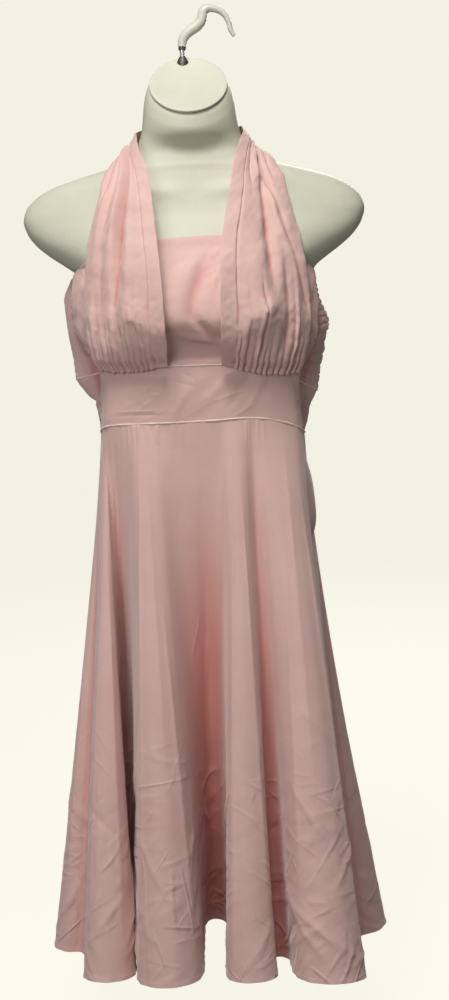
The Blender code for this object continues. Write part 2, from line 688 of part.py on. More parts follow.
def build_form(materials, carrier, collection):
    """The smooth torso with its shoulder stumps and slanted neck, the cap on it and the hook's metal stem."""
    levels = list(FORM.column("z"))
    sections = [form_section(z, FORM_COLUMNS) for z in levels]
    mesh, grid = loft(sections, closed=True)
    mesh.faces.new(list(reversed(grid[0])))
    mesh.faces.new(grid[-1])
    finish(mesh_object("form_torso", mesh, collection), materials["form"], carrier, 50.0)

    mesh = bmesh.new()
    bmesh.ops.create_cone(
        mesh,
        cap_ends=True,
        segments=FORM_COLUMNS,
        radius1=CAP_RADIUS,
        radius2=CAP_RADIUS,
        depth=CAP_THICKNESS,
    )
    rims = [edge for edge in mesh.edges if abs(edge.verts[0].co.z - edge.verts[1].co.z) < 1e-6]
    bmesh.ops.bevel(mesh, geom=rims, offset=0.0008, segments=2, affect="EDGES", profile=0.5, material=-1)
    turn = Matrix.Rotation(CAP_TILT, 4, "X")
    normal = turn @ Vector((0.0, 0.0, 1.0))
    seat = Vector((0.0, 0.0, levels[-1])) + normal * SEAM_GAP
    stretch = Matrix.Diagonal((1.0, 1.0 / math.cos(CAP_TILT), 1.0, 1.0))
    middle = seat + normal * (CAP_THICKNESS / 2)
    bmesh.ops.transform(mesh, matrix=Matrix.Translation(middle) @ turn @ stretch, verts=mesh.verts)
    finish(mesh_object("form_cap", mesh, collection), materials["cap"], carrier)

    top = seat + normal * (CAP_THICKNESS + SEAM_GAP)
    foot_z = top.z + (STEM_Y - top.y) * math.tan(CAP_TILT)
    profile = [(0.0068, foot_z - 0.012), (0.0068, foot_z), (STEM_RADIUS, foot_z + 0.0055), (STEM_RADIUS, CLAMP_Z)]
    profile += [(CLAMP_RADIUS, CLAMP_Z), (CLAMP_RADIUS, STEM_TOP_Z)]
    mesh, grid = loft([circle(STEM_X, STEM_Y, z, radius, 18) for radius, z in profile], closed=True)
    mesh.faces.new(list(reversed(grid[0])))
    mesh.faces.new(grid[-1])
    bmesh.ops.bisect_plane(
        mesh,
        geom=mesh.verts[:] + mesh.edges[:] + mesh.faces[:],
        plane_co=(STEM_X, STEM_Y, foot_z),
        plane_no=normal,
        clear_inner=True,
    )
    bmesh.ops.remove_doubles(mesh, verts=mesh.verts, dist=0.00002)
    bmesh.ops.contextual_create(mesh, geom=[edge for edge in mesh.edges if edge.is_boundary])
    bmesh.ops.recalc_face_normals(mesh, faces=mesh.faces)
    finish(mesh_object("hook_stem", mesh, collection), materials["metal"], carrier)
    return Surface(sections, closed=True)


HOOK_LINE = Table(
    "point x z radius",
    [
        (0, -0.0052, 0.4393, 0.0050),
        (1, -0.0046, 0.4450, 0.0054),
        (2, -0.0012, 0.4520, 0.0058),
        (3, 0.0050, 0.4575, 0.0060),
        (4, 0.0125, 0.4620, 0.0062),
        (5, 0.0185, 0.4680, 0.0061),
        (6, 0.0205, 0.4745, 0.0060),
        (7, 0.0225, 0.4800, 0.0056),
        (8, 0.0280, 0.4825, 0.0048),
        (9, 0.0350, 0.4818, 0.0042),
        (10, 0.0425, 0.4785, 0.0038),
        (11, 0.0485, 0.4725, 0.0035),
        (12, 0.0518, 0.4650, 0.0032),
        (13, 0.0534, 0.4570, 0.0029),
        (14, 0.0575, 0.4495, 0.0022),
    ],
)


def build_hook(material, carrier, collection):
    """The moulded crook: a curve whose thickness tapers from the neck to the tip."""
    points = [(row[1], HOOK_Y, row[2], row[3]) for row in HOOK_LINE.values]
    line = curve_through(points, per_span=3)
    curve = bpy.data.curves.new("crook_path", "CURVE")
    curve.dimensions = "3D"
    spline = curve.splines.new("POLY")
    spline.points.add(len(line) - 1)
    for point, (x, y, z, radius) in zip(spline.points, line):
        point.co = (x, y, z, 1.0)
        point.radius = radius
    curve.bevel_depth = 1.0
    curve.bevel_resolution = 2
    curve.use_fill_caps = True
    path = bpy.data.objects.new("crook_path", curve)
    mesh = bmesh.new()
    mesh.from_mesh(path.to_mesh())
    bpy.data.objects.remove(path)
    bmesh.ops.remove_doubles(mesh, verts=mesh.verts, dist=0.00005)
    bmesh.ops.recalc_face_normals(mesh, faces=mesh.faces)
    return finish(mesh_object("hook_crook", mesh, collection), material, carrier)


def build_trunk(form, cloth, carrier, collection):
    """The waistband and the strapless bodice, each a front and a back panel; returns the surfaces they show."""
    clear = CLOTH_THICKNESS + FORM_CLEARANCE
    last = FRONT_COLUMNS + BACK_COLUMNS - 1
    seams = [(FRONT_COLUMNS - 2, FRONT_COLUMNS - 1, FRONT_COLUMNS, FRONT_COLUMNS + 1), (0, 1, last - 1, last)]

    def rings(stations, above):
        rows = []
        for station in stations:
            front, back = trunk_ring(station)
            points = [*trimmed(front, FRONT_COLUMNS), *trimmed(back, BACK_COLUMNS)]
            rows.append([point + (0.0, 0.0, above) for point in points])
        return rest_on(rows, [form], clear, closed=True, together=seams)

    band = rings(BAND_STATIONS, 0.0)
    bodice = rings(np.linspace(1.0, 2.0, 2 * SHIRRING_RIDGES + 1), BAND_GAP)
    for row in bodice[1::2]:
        for j in range(FRONT_COLUMNS, last + 1):
            from_seam = min(j - FRONT_COLUMNS, last - j) - 1
            row[j] = row[j] + outward_at(row[j]) * SHIRRING_HEIGHT * np.clip(0.5 * from_seam, 0.0, 1.0)
    for name, rows in (("waistband", band), ("bodice", bodice)):
        cloth_panel(f"{name}_front", [row[:FRONT_COLUMNS] for row in rows], cloth, carrier, collection)
        cloth_panel(f"{name}_back", [row[FRONT_COLUMNS:] for row in rows], cloth, carrier, collection)
    return Surface([*band, *bodice], closed=True)


def outward_at(point):
    around = np.array((point[0], point[1], 0.0))
    return around / np.linalg.norm(around)


def fold_depth(folds, row, across):
    """The depth of every long fold at one place on a halter panel, fading in at both of its ends."""
    total = 0.0
    for values in folds.values:
        fold = dict(zip(folds.columns, values))
        along = (row - fold["start_row"]) / (fold["end_row"] - fold["start_row"])
        if not 0.0 <= along <= 1.0:
            continue
        middle = fold["start_across"] + (fold["end_across"] - fold["start_across"]) * along
        shape = math.exp(-(((across - middle) / fold["half_width"]) ** 2))
        fade = smoothstep(0.0, 0.4, along) * (1.0 - smoothstep(0.75, 1.0, along))
        total += fold["depth"] * shape * fade
    return total


def halter_point(table, folds, under, row, across):
    """A point of a halter panel's outer face, over the bodice below and the form above."""
    inner = table.point(row, "inner_x inner_y inner_z")
    outer = table.point(row, "outer_x outer_y outer_z")
    x, y, z = inner + (outer - inner) * across
    arch = 4.0 * across * (1.0 - across)
    raised = table.at(row, "puff") * arch
    gather = 0.5 - 0.5 * math.cos(2.0 * math.pi * GATHERS_PER_PANEL * across)
    raised += GATHER_HEIGHT * gather * (1.0 - smoothstep(0.6, GATHER_FADES_BY_ROW, row))
    raised += EDGE_BAND_HEIGHT * (1.0 - smoothstep(EDGE_BAND, EDGE_BAND + 0.03, across))
    if row > GATHER_FADES_BY_ROW:
        strap = smoothstep(8.0, 11.0, row)
        raised += 0.0022 * strap * (0.5 - 0.5 * math.cos(2.0 * math.pi * 4.0 * across))
    raised = max(0.0, raised - fold_depth(folds, row, across))
    point = np.array((x, y, z))
    for surface in under:
        point = surface.lifted(point, CLOTH_THICKNESS + LAYER_GAP)
    return point + halter_outward(table, row) * raised


def halter_middle(table, row):
    return 0.5 * (table.point(row, "inner_x inner_y inner_z") + table.point(row, "outer_x outer_y outer_z"))


def halter_outward(table, row):
    """The direction in which a halter panel faces at a row, away from the form."""
    across = table.point(row, "outer_x outer_y outer_z") - table.point(row, "inner_x inner_y inner_z")
    along = halter_middle(table, row + 0.6) - halter_middle(table, row - 0.6)
    facing = np.cross(across, along)
    facing /= np.linalg.norm(facing)
    middle = halter_middle(table, row)
    return facing if facing[:2] @ (middle[:2] - (0.0, 0.006)) > 0.0 else -facing


def build_halter(name, table, folds, under, cloth, carrier, collection):
    shares = np.linspace(0.0, 1.0, HALTER_COLUMNS)
    if table.at(0.0, "outer_x") < 0.0:
        shares = shares[::-1]
    rows = [[halter_point(table, folds, under, row, share) for share in shares] for row in HALTER_ROWS]
    rows = rest_on(rows, under, CLOTH_THICKNESS + LAYER_GAP)
    cloth_panel(name, rows, cloth, carrier, collection)


def build_skirt(form, cloth, carrier, collection):
    """The two halves of the skirt, parted by a seam's gap in the valleys at the sides."""
    skirt = Skirt(form)
    start, middle, end = skirt.left_seam, skirt.right_seam, skirt.left_seam + skirt.total
    front = [start, *np.linspace(start + EDGE_COLUMN, middle - EDGE_COLUMN, FRONT_SKIRT_COLUMNS - 2), middle]
    back = [middle, *np.linspace(middle + EDGE_COLUMN, end - EDGE_COLUMN, BACK_SKIRT_COLUMNS - 2), end]
    rows = [[skirt.point(length, height) for length in (*front, *back)] for height in reversed(SKIRT_HEIGHTS)]
    count, last = len(front), len(front) + len(back) - 1
    for row in rows:
        for edge, inner in ((0, 1), (count - 1, count - 2), (count, count + 1), (last, last - 1)):
            along = row[inner] - row[edge]
            row[inner] = row[edge] + along * EDGE_COLUMN / np.linalg.norm(along)
            row[edge] = row[edge] + along * SEAM_GAP / 2 / np.linalg.norm(along)
    seams = [(count - 2, count - 1, count, count + 1), (0, 1, last - 1, last)]
    rows = rest_on(rows, [form], CLOTH_THICKNESS + HIP_CLEARANCE, closed=True, together=seams, held_rows=(-1,))
    cloth_panel("skirt_front", [row[:count] for row in rows], cloth, carrier, collection)
    cloth_panel("skirt_back", [row[count:] for row in rows], cloth, carrier, collection)


def main():
    for obj in list(bpy.data.objects):
        bpy.data.objects.remove(obj)
    collection = bpy.data.collections.new("halter_dress")
    bpy.context.scene.collection.children.link(collection)
    carrier = bpy.data.objects.new("lower_waist_seam", None)
    carrier.location = WAIST_FROM_HOOK
    collection.objects.link(carrier)
    materials = {
        "cloth": new_material("pink_cloth", (0.80, 0.56, 0.55), 0.75),
        "form": new_material("form_shell", (0.72, 0.72, 0.64), 0.55),
        "cap": new_material("neck_cap", (0.80, 0.80, 0.72), 0.50),
        "hook": new_material("moulded_hook", (0.78, 0.78, 0.72), 0.40),
        "metal": new_material("bright_metal", (0.60, 0.60, 0.58), 0.30, 1.0),
    }
    form = build_form(materials, carrier, collection)
    build_hook(materials["hook"], carrier, collection)
    shown = build_trunk(form, materials["cloth"], carrier, collection)
    under = [shown, form]
    build_halter("halter_left", HALTER_LEFT, HALTER_LEFT_FOLDS, under, materials["cloth"], carrier, collection)
    build_halter("halter_right", HALTER_RIGHT, HALTER_RIGHT_FOLDS, under, materials["cloth"], carrier, collection)
    build_skirt(form, materials["cloth"], carrier, collection)


main()
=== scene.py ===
"""Looks of a pale pink halter dress that hangs on a limbless dress form.

The cloth is modelled as thin sheets over the same cut as the CAD part: a gathered halter panel on each side, a
strapless bodice with a shirred back, a waistband and a flared skirt in two halves. Shapes are worked out in the
dress's own coordinates, in metres, with x and y from the form's axis and z from the lower waist seam.
"""

from __future__ import annotations

import logging
import math
from dataclasses import dataclass, field
from enum import Enum
from typing import Any, Iterable, Sequence

import bmesh
import bpy
import numpy as np
from mathutils import Matrix, Vector
from mathutils.bvhtree import BVHTree

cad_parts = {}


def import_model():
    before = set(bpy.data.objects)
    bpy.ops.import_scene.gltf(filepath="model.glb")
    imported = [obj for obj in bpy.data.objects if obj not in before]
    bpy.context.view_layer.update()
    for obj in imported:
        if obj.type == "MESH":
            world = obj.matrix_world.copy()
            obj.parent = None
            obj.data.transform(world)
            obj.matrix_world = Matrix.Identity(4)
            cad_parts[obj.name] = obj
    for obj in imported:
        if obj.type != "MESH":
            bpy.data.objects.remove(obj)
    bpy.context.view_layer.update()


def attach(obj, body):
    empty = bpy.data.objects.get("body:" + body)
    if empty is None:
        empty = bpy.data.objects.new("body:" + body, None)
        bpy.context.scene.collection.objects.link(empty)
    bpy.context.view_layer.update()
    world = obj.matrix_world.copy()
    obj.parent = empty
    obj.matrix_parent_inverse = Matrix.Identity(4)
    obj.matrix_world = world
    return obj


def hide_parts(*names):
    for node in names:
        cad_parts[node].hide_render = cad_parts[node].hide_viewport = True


LOG = logging.getLogger("halter_dress")
WAIST_FROM_HOOK = np.array((-0.032, -0.036, -0.4775))
IMAGE_HEIGHT = 1000
CLOTH_THICKNESS = 0.0005
SEAM_GAP = 0.0003
SKIRT_LENGTH = 0.632
CENTRE_Y = 0.006


def smoothstep(low: float, high: float, value: Any) -> Any:
    """Rise smoothly from 0 at low to 1 at high.

    Args:
        low: Where the rise starts.
        high: Where it ends.
        value: A number or an array.

    Returns:
        The share from 0 to 1, of the value's own kind.
    """
    t = np.clip((value - low) / (high - low), 0.0, 1.0)
    return t * t * (3.0 - 2.0 * t)


class Profile:
    """A short table with named columns, joined by monotone cubics over its first column."""

    def __init__(self, columns: str, rows: Sequence[Sequence[float]]) -> None:
        """Keep the rows as columns.

        Args:
            columns: The columns' names, parted by spaces.
            rows: The table, one tuple a row, in rising order of the first column.
        """
        self.columns = columns.split()
        self.values = np.array(rows, float)

    def column(self, name: str) -> np.ndarray:
        """Return one column as it was written."""
        return self.values[:, self.columns.index(name)]

    def at(self, key: Any, name: str) -> Any:
        """Read a column between its rows.

        Args:
            key: Where to read, a number or an array, in the first column's units.
            name: The column to read.

        Returns:
            The smoothed value, of the key's own kind.
        """
        keys, values = self.values[:, 0], self.column(name)
        wanted = np.clip(np.asarray(key, float), keys[0], keys[-1])
        index = np.clip(np.searchsorted(keys, wanted) - 1, 0, len(keys) - 2)
        step = np.diff(keys)
        slope = np.diff(values) / step
        before, after = slope[:-1], slope[1:]
        total = np.where(np.abs(before + after) < 1e-12, 1.0, before + after)
        inner = np.where(before * after > 0.0, 2.0 * before * after / total, 0.0)
        tangent = np.concatenate([slope[:1], inner, slope[-1:]])
        h, t = step[index], (wanted - keys[index]) / step[index]
        rise = (2 * t**3 - 3 * t**2 + 1) * values[index] + (3 * t**2 - 2 * t**3) * values[index + 1]
        lean = (t**3 - 2 * t**2 + t) * tangent[index] + (t**3 - t**2) * tangent[index + 1]
        result = rise + h * lean
        return result if np.ndim(key) else float(result)

    def point(self, key: float, names: str = "x y z") -> np.ndarray:
        """Return several columns at one key as a point."""
        return np.array([self.at(key, name) for name in names.split()])


def curve_through(points: Sequence[Sequence[float]], closed: bool = False, per_span: int = 16) -> np.ndarray:
    """Run a centripetal Catmull-Rom curve through points.

    Args:
        points: The points to pass, in order.
        closed: Whether the curve comes back to the first point.
        per_span: How many steps each span gets.

    Returns:
        The curve as a fine polyline.
    """
    points = np.array(points, float)
    if closed:
        padded = np.vstack([points[-1], points, points[0], points[1]])
    else:
        padded = np.vstack([2 * points[0] - points[1], points, 2 * points[-1] - points[-2]])
    line = []
    for p0, p1, p2, p3 in zip(padded[:-3], padded[1:-2], padded[2:-1], padded[3:]):
        k1 = max(float(np.linalg.norm(p1 - p0)), 1e-9) ** 0.5
        k2 = k1 + max(float(np.linalg.norm(p2 - p1)), 1e-9) ** 0.5
        k3 = k2 + max(float(np.linalg.norm(p3 - p2)), 1e-9) ** 0.5
        t = np.linspace(k1, k2, per_span, endpoint=False)[:, None]
        a1 = (k1 - t) / k1 * p0 + t / k1 * p1
        a2 = (k2 - t) / (k2 - k1) * p1 + (t - k1) / (k2 - k1) * p2
        a3 = (k3 - t) / (k3 - k2) * p2 + (t - k2) / (k3 - k2) * p3
        b1 = (k2 - t) / k2 * a1 + t / k2 * a2
        b2 = (k3 - t) / (k3 - k1) * a2 + (t - k1) / (k3 - k1) * a3
        line.append((k2 - t) / (k2 - k1) * b1 + (t - k1) / (k2 - k1) * b2)
    end = points[:1] if closed else points[-1:]
    return np.vstack([*line, end])


def lengths_along(line: np.ndarray) -> np.ndarray:
    """Return the distance along a polyline at each of its points."""
    return np.concatenate([[0.0], np.cumsum(np.linalg.norm(np.diff(line, axis=0), axis=1))])


def spread_along(line: np.ndarray, shares: np.ndarray) -> np.ndarray:
    """Return the points at shares from 0 to 1 of a polyline's length."""
    lengths = lengths_along(line)
    wanted = np.clip(shares, 0.0, 1.0) * lengths[-1]
    return np.stack([np.interp(wanted, lengths, line[:, axis]) for axis in range(line.shape[1])], axis=-1)


def facing(grid: np.ndarray) -> np.ndarray:
    """Return the outward normals of a sheet's grid, whose rows go up and whose columns go to the right."""
    normals = np.cross(np.gradient(grid, axis=1), np.gradient(grid, axis=0))
    return normals / np.maximum(np.linalg.norm(normals, axis=-1, keepdims=True), 1e-12)


class Fall(Enum):
    """How a crease falls away from its line: the power of its bell."""

    CRISP = 1.1
    SOFT = 2.0


@dataclass(frozen=True)
class Crease:
    """One crease or fold, drawn as a straight line on the flat cloth."""

    start: tuple[float, float]
    end: tuple[float, float]
    height: float
    width: float
    fall: Fall = Fall.SOFT

    def height_at(self, u: np.ndarray, v: np.ndarray) -> np.ndarray:
        """Work out how far the crease lifts the cloth.

        Args:
            u: Place across the cloth, in metres.
            v: Place up the cloth, in metres.

        Returns:
            The lift in metres, below zero in a trough.
        """
        a, b = np.array(self.start), np.array(self.end)
        run = b - a
        length = float(np.linalg.norm(run))
        along = ((u - a[0]) * run[0] + (v - a[1]) * run[1]) / length**2
        off = np.abs((u - a[0]) * run[1] - (v - a[1]) * run[0]) / length
        fade = smoothstep(-0.12, 0.3, along) * (1.0 - smoothstep(0.7, 1.12, along))
        return self.height * fade * np.exp(-((off / self.width) ** self.fall.value))


@dataclass(frozen=True)
class Scatter:
    """A patch of small creases with uneven lengths, depths and directions."""

    count: int
    low: tuple[float, float]
    high: tuple[float, float]
    length: tuple[float, float]
    height: tuple[float, float]
    width: tuple[float, float]
    lean: tuple[float, float]
    seed: int

    def creases(self) -> list[Crease]:
        """Draw the patch's creases from its seed."""
        rng = np.random.default_rng(self.seed)
        found = []
        for _ in range(self.count):
            middle = rng.uniform(self.low, self.high)
            lean = math.radians(rng.uniform(*self.lean)) * rng.choice((-1.0, 1.0))
            half = 0.5 * rng.uniform(*self.length) * np.array((math.sin(lean), math.cos(lean)))
            height = rng.uniform(*self.height) * rng.choice((-1.0, 1.0, 1.0))
            fall = Fall.CRISP if rng.random() < 0.6 else Fall.SOFT
            width = rng.uniform(*self.width)
            found.append(Crease(tuple(middle - half), tuple(middle + half), height, width, fall))
        return found


def ripples(u: np.ndarray, v: np.ndarray, wavelength: float, seed: int, waves: int = 9) -> np.ndarray:
    """Make a smooth uneven field with values of about -1 to 1.

    Args:
        u: Place across the cloth.
        v: Place up the cloth.
        wavelength: The usual distance from one rise to the next, in the same unit.
        seed: The seed of its random phases.
        waves: How many plane waves are added up.

    Returns:
        The field at every place.
    """
    rng = np.random.default_rng(seed)
    total = np.zeros_like(u)
    for _ in range(waves):
        angle, phase = rng.uniform(0.0, math.pi), rng.uniform(0.0, 2.0 * math.pi)
        k = 2.0 * math.pi / (wavelength * rng.uniform(0.7, 1.6))
        total = total + np.sin(k * (u * math.cos(angle) + v * math.sin(angle)) + phase)
    return total / math.sqrt(waves)


# Materials
class Maths:
    """A shader socket that can be used in Python expressions."""

    def __init__(self, builder: "Shader", socket: Any) -> None:
        """Wrap one output socket of a builder's tree."""
        self.builder = builder
        self.socket = socket

    def _with(self, operation: str, first: Any, second: Any) -> "Maths":
        """Add one Math node and wrap its result."""
        return self.builder.node("ShaderNodeMath", {"operation": operation}, {0: first, 1: second})

    def __add__(self, other: Any) -> "Maths":
        """Add a socket or number."""
        return self._with("ADD", self, other)

    def __mul__(self, other: Any) -> "Maths":
        """Multiply by a socket or number."""
        return self._with("MULTIPLY", self, other)

    def __sub__(self, other: Any) -> "Maths":
        """Take away a socket or number."""
        return self._with("SUBTRACT", self, other)

    def __rsub__(self, other: Any) -> "Maths":
        """Take this from a number."""
        return self._with("SUBTRACT", other, self)

    def __pow__(self, other: Any) -> "Maths":
        """Raise to a power."""
        return self._with("POWER", self, other)

    __radd__ = __add__
    __rmul__ = __mul__

    def wave(self) -> "Maths":
        """Return the sine."""
        return self._with("SINE", self, 0.0)


class Shader:
    """Builds one material's node tree."""

    def __init__(self, name: str) -> None:
        """Start a material with only its output and its Principled shader."""
        self.material = bpy.data.materials.new(name)
        self.material.use_nodes = True
        self.tree = self.material.node_tree
        self.principled = self.tree.nodes["Principled BSDF"]

    def node(self, kind: str, settings: dict[str, Any] | None = None, inputs: dict[Any, Any] | None = None,
             output: Any = 0) -> Maths:
        """Add a node.

        Args:
            kind: The node's type name.
            settings: Its own settings, set before its sockets; "stops" holds a ramp's positions and colours.
            inputs: Values or wrapped sockets for its inputs, by name or number.
            output: The output to return.

        Returns:
            The wrapped output.
        """
        made = self.tree.nodes.new(kind)
        for name, value in (settings or {}).items():
            if name == "stops":
                ramp = made.color_ramp
                while len(ramp.elements) < len(value):
                    ramp.elements.new(0.5)
                for element, (position, colour) in zip(ramp.elements, value):
                    element.position, element.color = position, (*colour, 1.0)
            else:
                setattr(made, name, value)
        for name, value in (inputs or {}).items():
            if isinstance(value, Maths):
                self.tree.links.new(value.socket, made.inputs[name])
            else:
                made.inputs[name].default_value = value
        return Maths(self, made.outputs[output])

    def noise(self, place: Maths, scale: float, detail: float = 3.0, rough: float = 0.5) -> Maths:
        """Add a noise texture and return its value."""
        return self.node("ShaderNodeTexNoise", {}, {"Vector": place, "Scale": scale, "Detail": detail,
                                                    "Roughness": rough})

    def streaks(self, place: Maths, degrees: float, shift: float) -> Maths:
        """Draw long thin wandering lines that come and go, the creases of folded cloth.

        Args:
            place: Where on the cloth, in metres.
            degrees: The way they run.
            shift: An offset that sets one layer apart from another.

        Returns:
            The lines' height from 0 to 1.
        """
        turned = self.node("ShaderNodeMapping", {"vector_type": "TEXTURE"}, {
            "Vector": place, "Location": (shift, 0.4 * shift, 0.0),
            "Rotation": (0.0, 0.0, math.radians(degrees)), "Scale": (0.17, 0.036, 1.0)})
        off = self.node("ShaderNodeMath", {"operation": "ABSOLUTE"}, {0: self.noise(turned, 1.0, 1.2) - 0.5})
        patches = self.ranged(self.noise(place, 11.0 + shift, 2.0), 0.47, 0.60)
        return self.ranged(off, 0.0, 0.045, 1.0, 0.0) * patches

    def mix(self, factor: Any, first: Any, second: Any) -> Maths:
        """Mix two colours, each a triple or a socket."""
        colours = [(*value, 1.0) if isinstance(value, tuple) else value for value in (first, second)]
        return self.node("ShaderNodeMix", {"data_type": "RGBA"}, {0: factor, 6: colours[0], 7: colours[1]}, 2)

    def ranged(self, value: Maths, low: float, high: float, to_low: float = 0.0, to_high: float = 1.0) -> Maths:
        """Map a value's range onto another, clamped."""
        inputs = {0: value, 1: low, 2: high, 3: to_low, 4: to_high}
        return self.node("ShaderNodeMapRange", {"clamp": True}, inputs)

    def bump(self, height: Maths, strength: float, distance: float, under: Maths | None = None) -> Maths:
        """Add a bump and return its normal."""
        inputs: dict[Any, Any] = {"Height": height, "Strength": strength, "Distance": distance}
        if under is not None:
            inputs["Normal"] = under
        return self.node("ShaderNodeBump", {}, inputs)

    def finish(self, varying: dict[str, Maths], fixed: dict[str, Any]) -> bpy.types.Material:
        """Join the Principled shader's sockets.

        Args:
            varying: Sockets that change over the surface.
            fixed: Plain values, set on the sockets themselves.

        Returns:
            The finished material.
        """
        for name, value in varying.items():
            self.tree.links.new(value.socket, self.principled.inputs[name])
        for name, value in fixed.items():
            self.principled.inputs[name].default_value = value
        return self.material


@dataclass(frozen=True)
class ClothFinish:
    """Pale pink plain-weave cloth with a faint sheen; its UV map holds the flat cut in metres, and a deep rose
    is mixed in as painted shade where folds lie in shade.
    """

    name: str = "pink_cloth"
    light: tuple[float, float, float] = (0.76, 0.525, 0.485)
    deep: tuple[float, float, float] = (0.69, 0.435, 0.395)
    # Painted shade: the deep rose mixed into the cloth where folds and the skirt's inside lie in shade.
    hollow: tuple[float, float, float] = (0.60, 0.24, 0.215)
    thread_pitch: float = 0.0011
    thread_depth: float = 0.00022
    crumple_depth: float = 0.0011

    def build(self) -> bpy.types.Material:
        """Make the material."""
        shader = Shader(self.name)
        flat = shader.node("ShaderNodeUVMap", {"uv_map": "UVMap"})
        space = shader.node("ShaderNodeTexCoord", {}, {}, "Object")
        across = shader.node("ShaderNodeSeparateXYZ", {}, {0: flat}, 0)
        along = shader.node("ShaderNodeSeparateXYZ", {}, {0: flat}, 1)
        turn = 2.0 * math.pi / self.thread_pitch
        weft, warp = (across * turn).wave(), (along * turn).wave()
        weave = weft * warp
        slub = shader.noise(flat, 900.0, 2.0)
        cloudy = shader.noise(space, 16.0, 4.0, 0.6)
        speckle = shader.noise(flat, 420.0, 2.0, 0.7)
        tone = shader.ranged(cloudy, 0.35, 0.65) * 0.45 + shader.ranged(speckle, 0.3, 0.7) * 0.35
        tone = tone + shader.ranged(weave, -1.0, 1.0) * 0.2
        # Painted shade: the per-vertex share below darkens the cloth to a deep rose in folds and inside the
        # skirt.
        shade = shader.node("ShaderNodeAttribute", {"attribute_name": "hollow"}, {}, "Fac")
        colour = shader.mix(shade, shader.mix(tone, self.deep, self.light), self.hollow)
        crumple = shader.noise(flat, 30.0, 5.0, 0.62) * 0.7 + shader.noise(flat, 95.0, 3.0, 0.6) * 0.3
        normal = shader.bump(crumple, 0.22, self.crumple_depth * 3.0)
        worn = shader.node("ShaderNodeAttribute", {"attribute_name": "crumple"}, {}, "Fac")
        lines = shader.streaks(flat, 38.0, 0.0) + shader.streaks(flat, -47.0, 3.0)
        lines = lines + shader.streaks(flat, 84.0, 7.0) * 0.7
        normal = shader.bump(lines * worn, 1.0, self.crumple_depth, normal)
        normal = shader.bump(weave * 0.6 + slub * 0.8, 0.42, self.thread_depth, normal)
        rough = shader.ranged(speckle, 0.3, 0.7, 0.56, 0.72)
        return shader.finish(
            {"Base Color": colour, "Roughness": rough, "Normal": normal},
            {"Sheen Weight": 0.50, "Sheen Roughness": 0.40, "Sheen Tint": (1.0, 0.93, 0.92, 1.0),
             "Specular IOR Level": 0.32},
        )


@dataclass(frozen=True)
class ThreadFinish:
    """Pale sewing thread, twisted, a little lighter than the cloth."""

    name: str = "pink_thread"
    colour: tuple[float, float, float] = (0.93, 0.73, 0.71)

    def build(self) -> bpy.types.Material:
        """Make the material."""
        shader = Shader(self.name)
        space = shader.node("ShaderNodeTexCoord", {}, {}, "Object")
        twist = shader.noise(space, 2600.0, 1.0)
        darker = tuple(0.86 * part for part in self.colour)
        colour = shader.mix(shader.ranged(twist, 0.35, 0.65), darker, self.colour)
        normal = shader.bump(twist, 0.5, 0.0002)
        return shader.finish({"Base Color": colour, "Normal": normal}, {"Roughness": 0.62})


@dataclass(frozen=True)
class ShellFinish:
    """Matt moulded plastic with a faint mottle and light scuffs."""

    name: str
    colour: tuple[float, float, float]
    roughness: float
    mottle: float = 0.06

    def build(self) -> bpy.types.Material:
        """Make the material."""
        shader = Shader(self.name)
        space = shader.node("ShaderNodeTexCoord", {}, {}, "Object")
        broad, fine = shader.noise(space, 9.0, 4.0, 0.6), shader.noise(space, 330.0, 3.0, 0.6)
        darker = tuple(part * (1.0 - self.mottle * 2.2) for part in self.colour)
        tone = shader.ranged(broad, 0.35, 0.65) * 0.6 + shader.ranged(fine, 0.3, 0.7) * 0.4
        scuffs = shader.ranged(shader.noise(space, 46.0, 6.0, 0.75), 0.62, 0.70)
        colour = shader.mix(scuffs * 0.22, shader.mix(tone, darker, self.colour), darker)
        rough = shader.ranged(fine, 0.3, 0.7, self.roughness - 0.07, self.roughness + 0.07)
        normal = shader.bump(fine * 0.5 + broad * 1.5, 0.22, 0.0006)
        return shader.finish({"Base Color": colour, "Roughness": rough, "Normal": normal},
                             {"Specular IOR Level": 0.4})


@dataclass(frozen=True)
class MetalFinish:
    """Plated wire or a darker worn ring of it."""

    name: str
    colour: tuple[float, float, float]
    roughness: float

    def build(self) -> bpy.types.Material:
        """Make the material."""
        shader = Shader(self.name)
        space = shader.node("ShaderNodeTexCoord", {}, {}, "Object")
        wear = shader.noise(space, 700.0, 4.0, 0.6)
        darker = tuple(0.7 * part for part in self.colour)
        colour = shader.mix(shader.ranged(wear, 0.4, 0.7), self.colour, darker)
        rough = shader.ranged(wear, 0.3, 0.7, self.roughness, self.roughness + 0.18)
        normal = shader.bump(wear, 0.2, 0.0001)
        return shader.finish({"Base Color": colour, "Roughness": rough, "Normal": normal}, {"Metallic": 1.0})


@dataclass
class Finishes:
    """Every material of the scene."""

    cloth: bpy.types.Material = field(default_factory=lambda: ClothFinish().build())
    # The seam edges are the same cloth drawn lighter, a painted highlight on the raised edges.
    edge: bpy.types.Material = field(
        default_factory=lambda: ClothFinish("pink_cloth_painted_highlight", (0.95, 0.80, 0.77), (0.90, 0.71, 0.68)).build())
    thread: bpy.types.Material = field(default_factory=lambda: ThreadFinish().build())
    shell: bpy.types.Material = field(
        default_factory=lambda: ShellFinish("form_shell", (0.63, 0.64, 0.515), 0.52).build())
    cap: bpy.types.Material = field(
        default_factory=lambda: ShellFinish("neck_cap", (0.66, 0.665, 0.55), 0.48).build())
    hook: bpy.types.Material = field(
        default_factory=lambda: ShellFinish("hook_plastic", (0.64, 0.64, 0.55), 0.34, 0.04).build())
    metal: bpy.types.Material = field(
        default_factory=lambda: MetalFinish("stem_metal", (0.78, 0.78, 0.74), 0.22).build())
    dark: bpy.types.Material = field(
        default_factory=lambda: MetalFinish("clamp_metal", (0.16, 0.15, 0.12), 0.45).build())


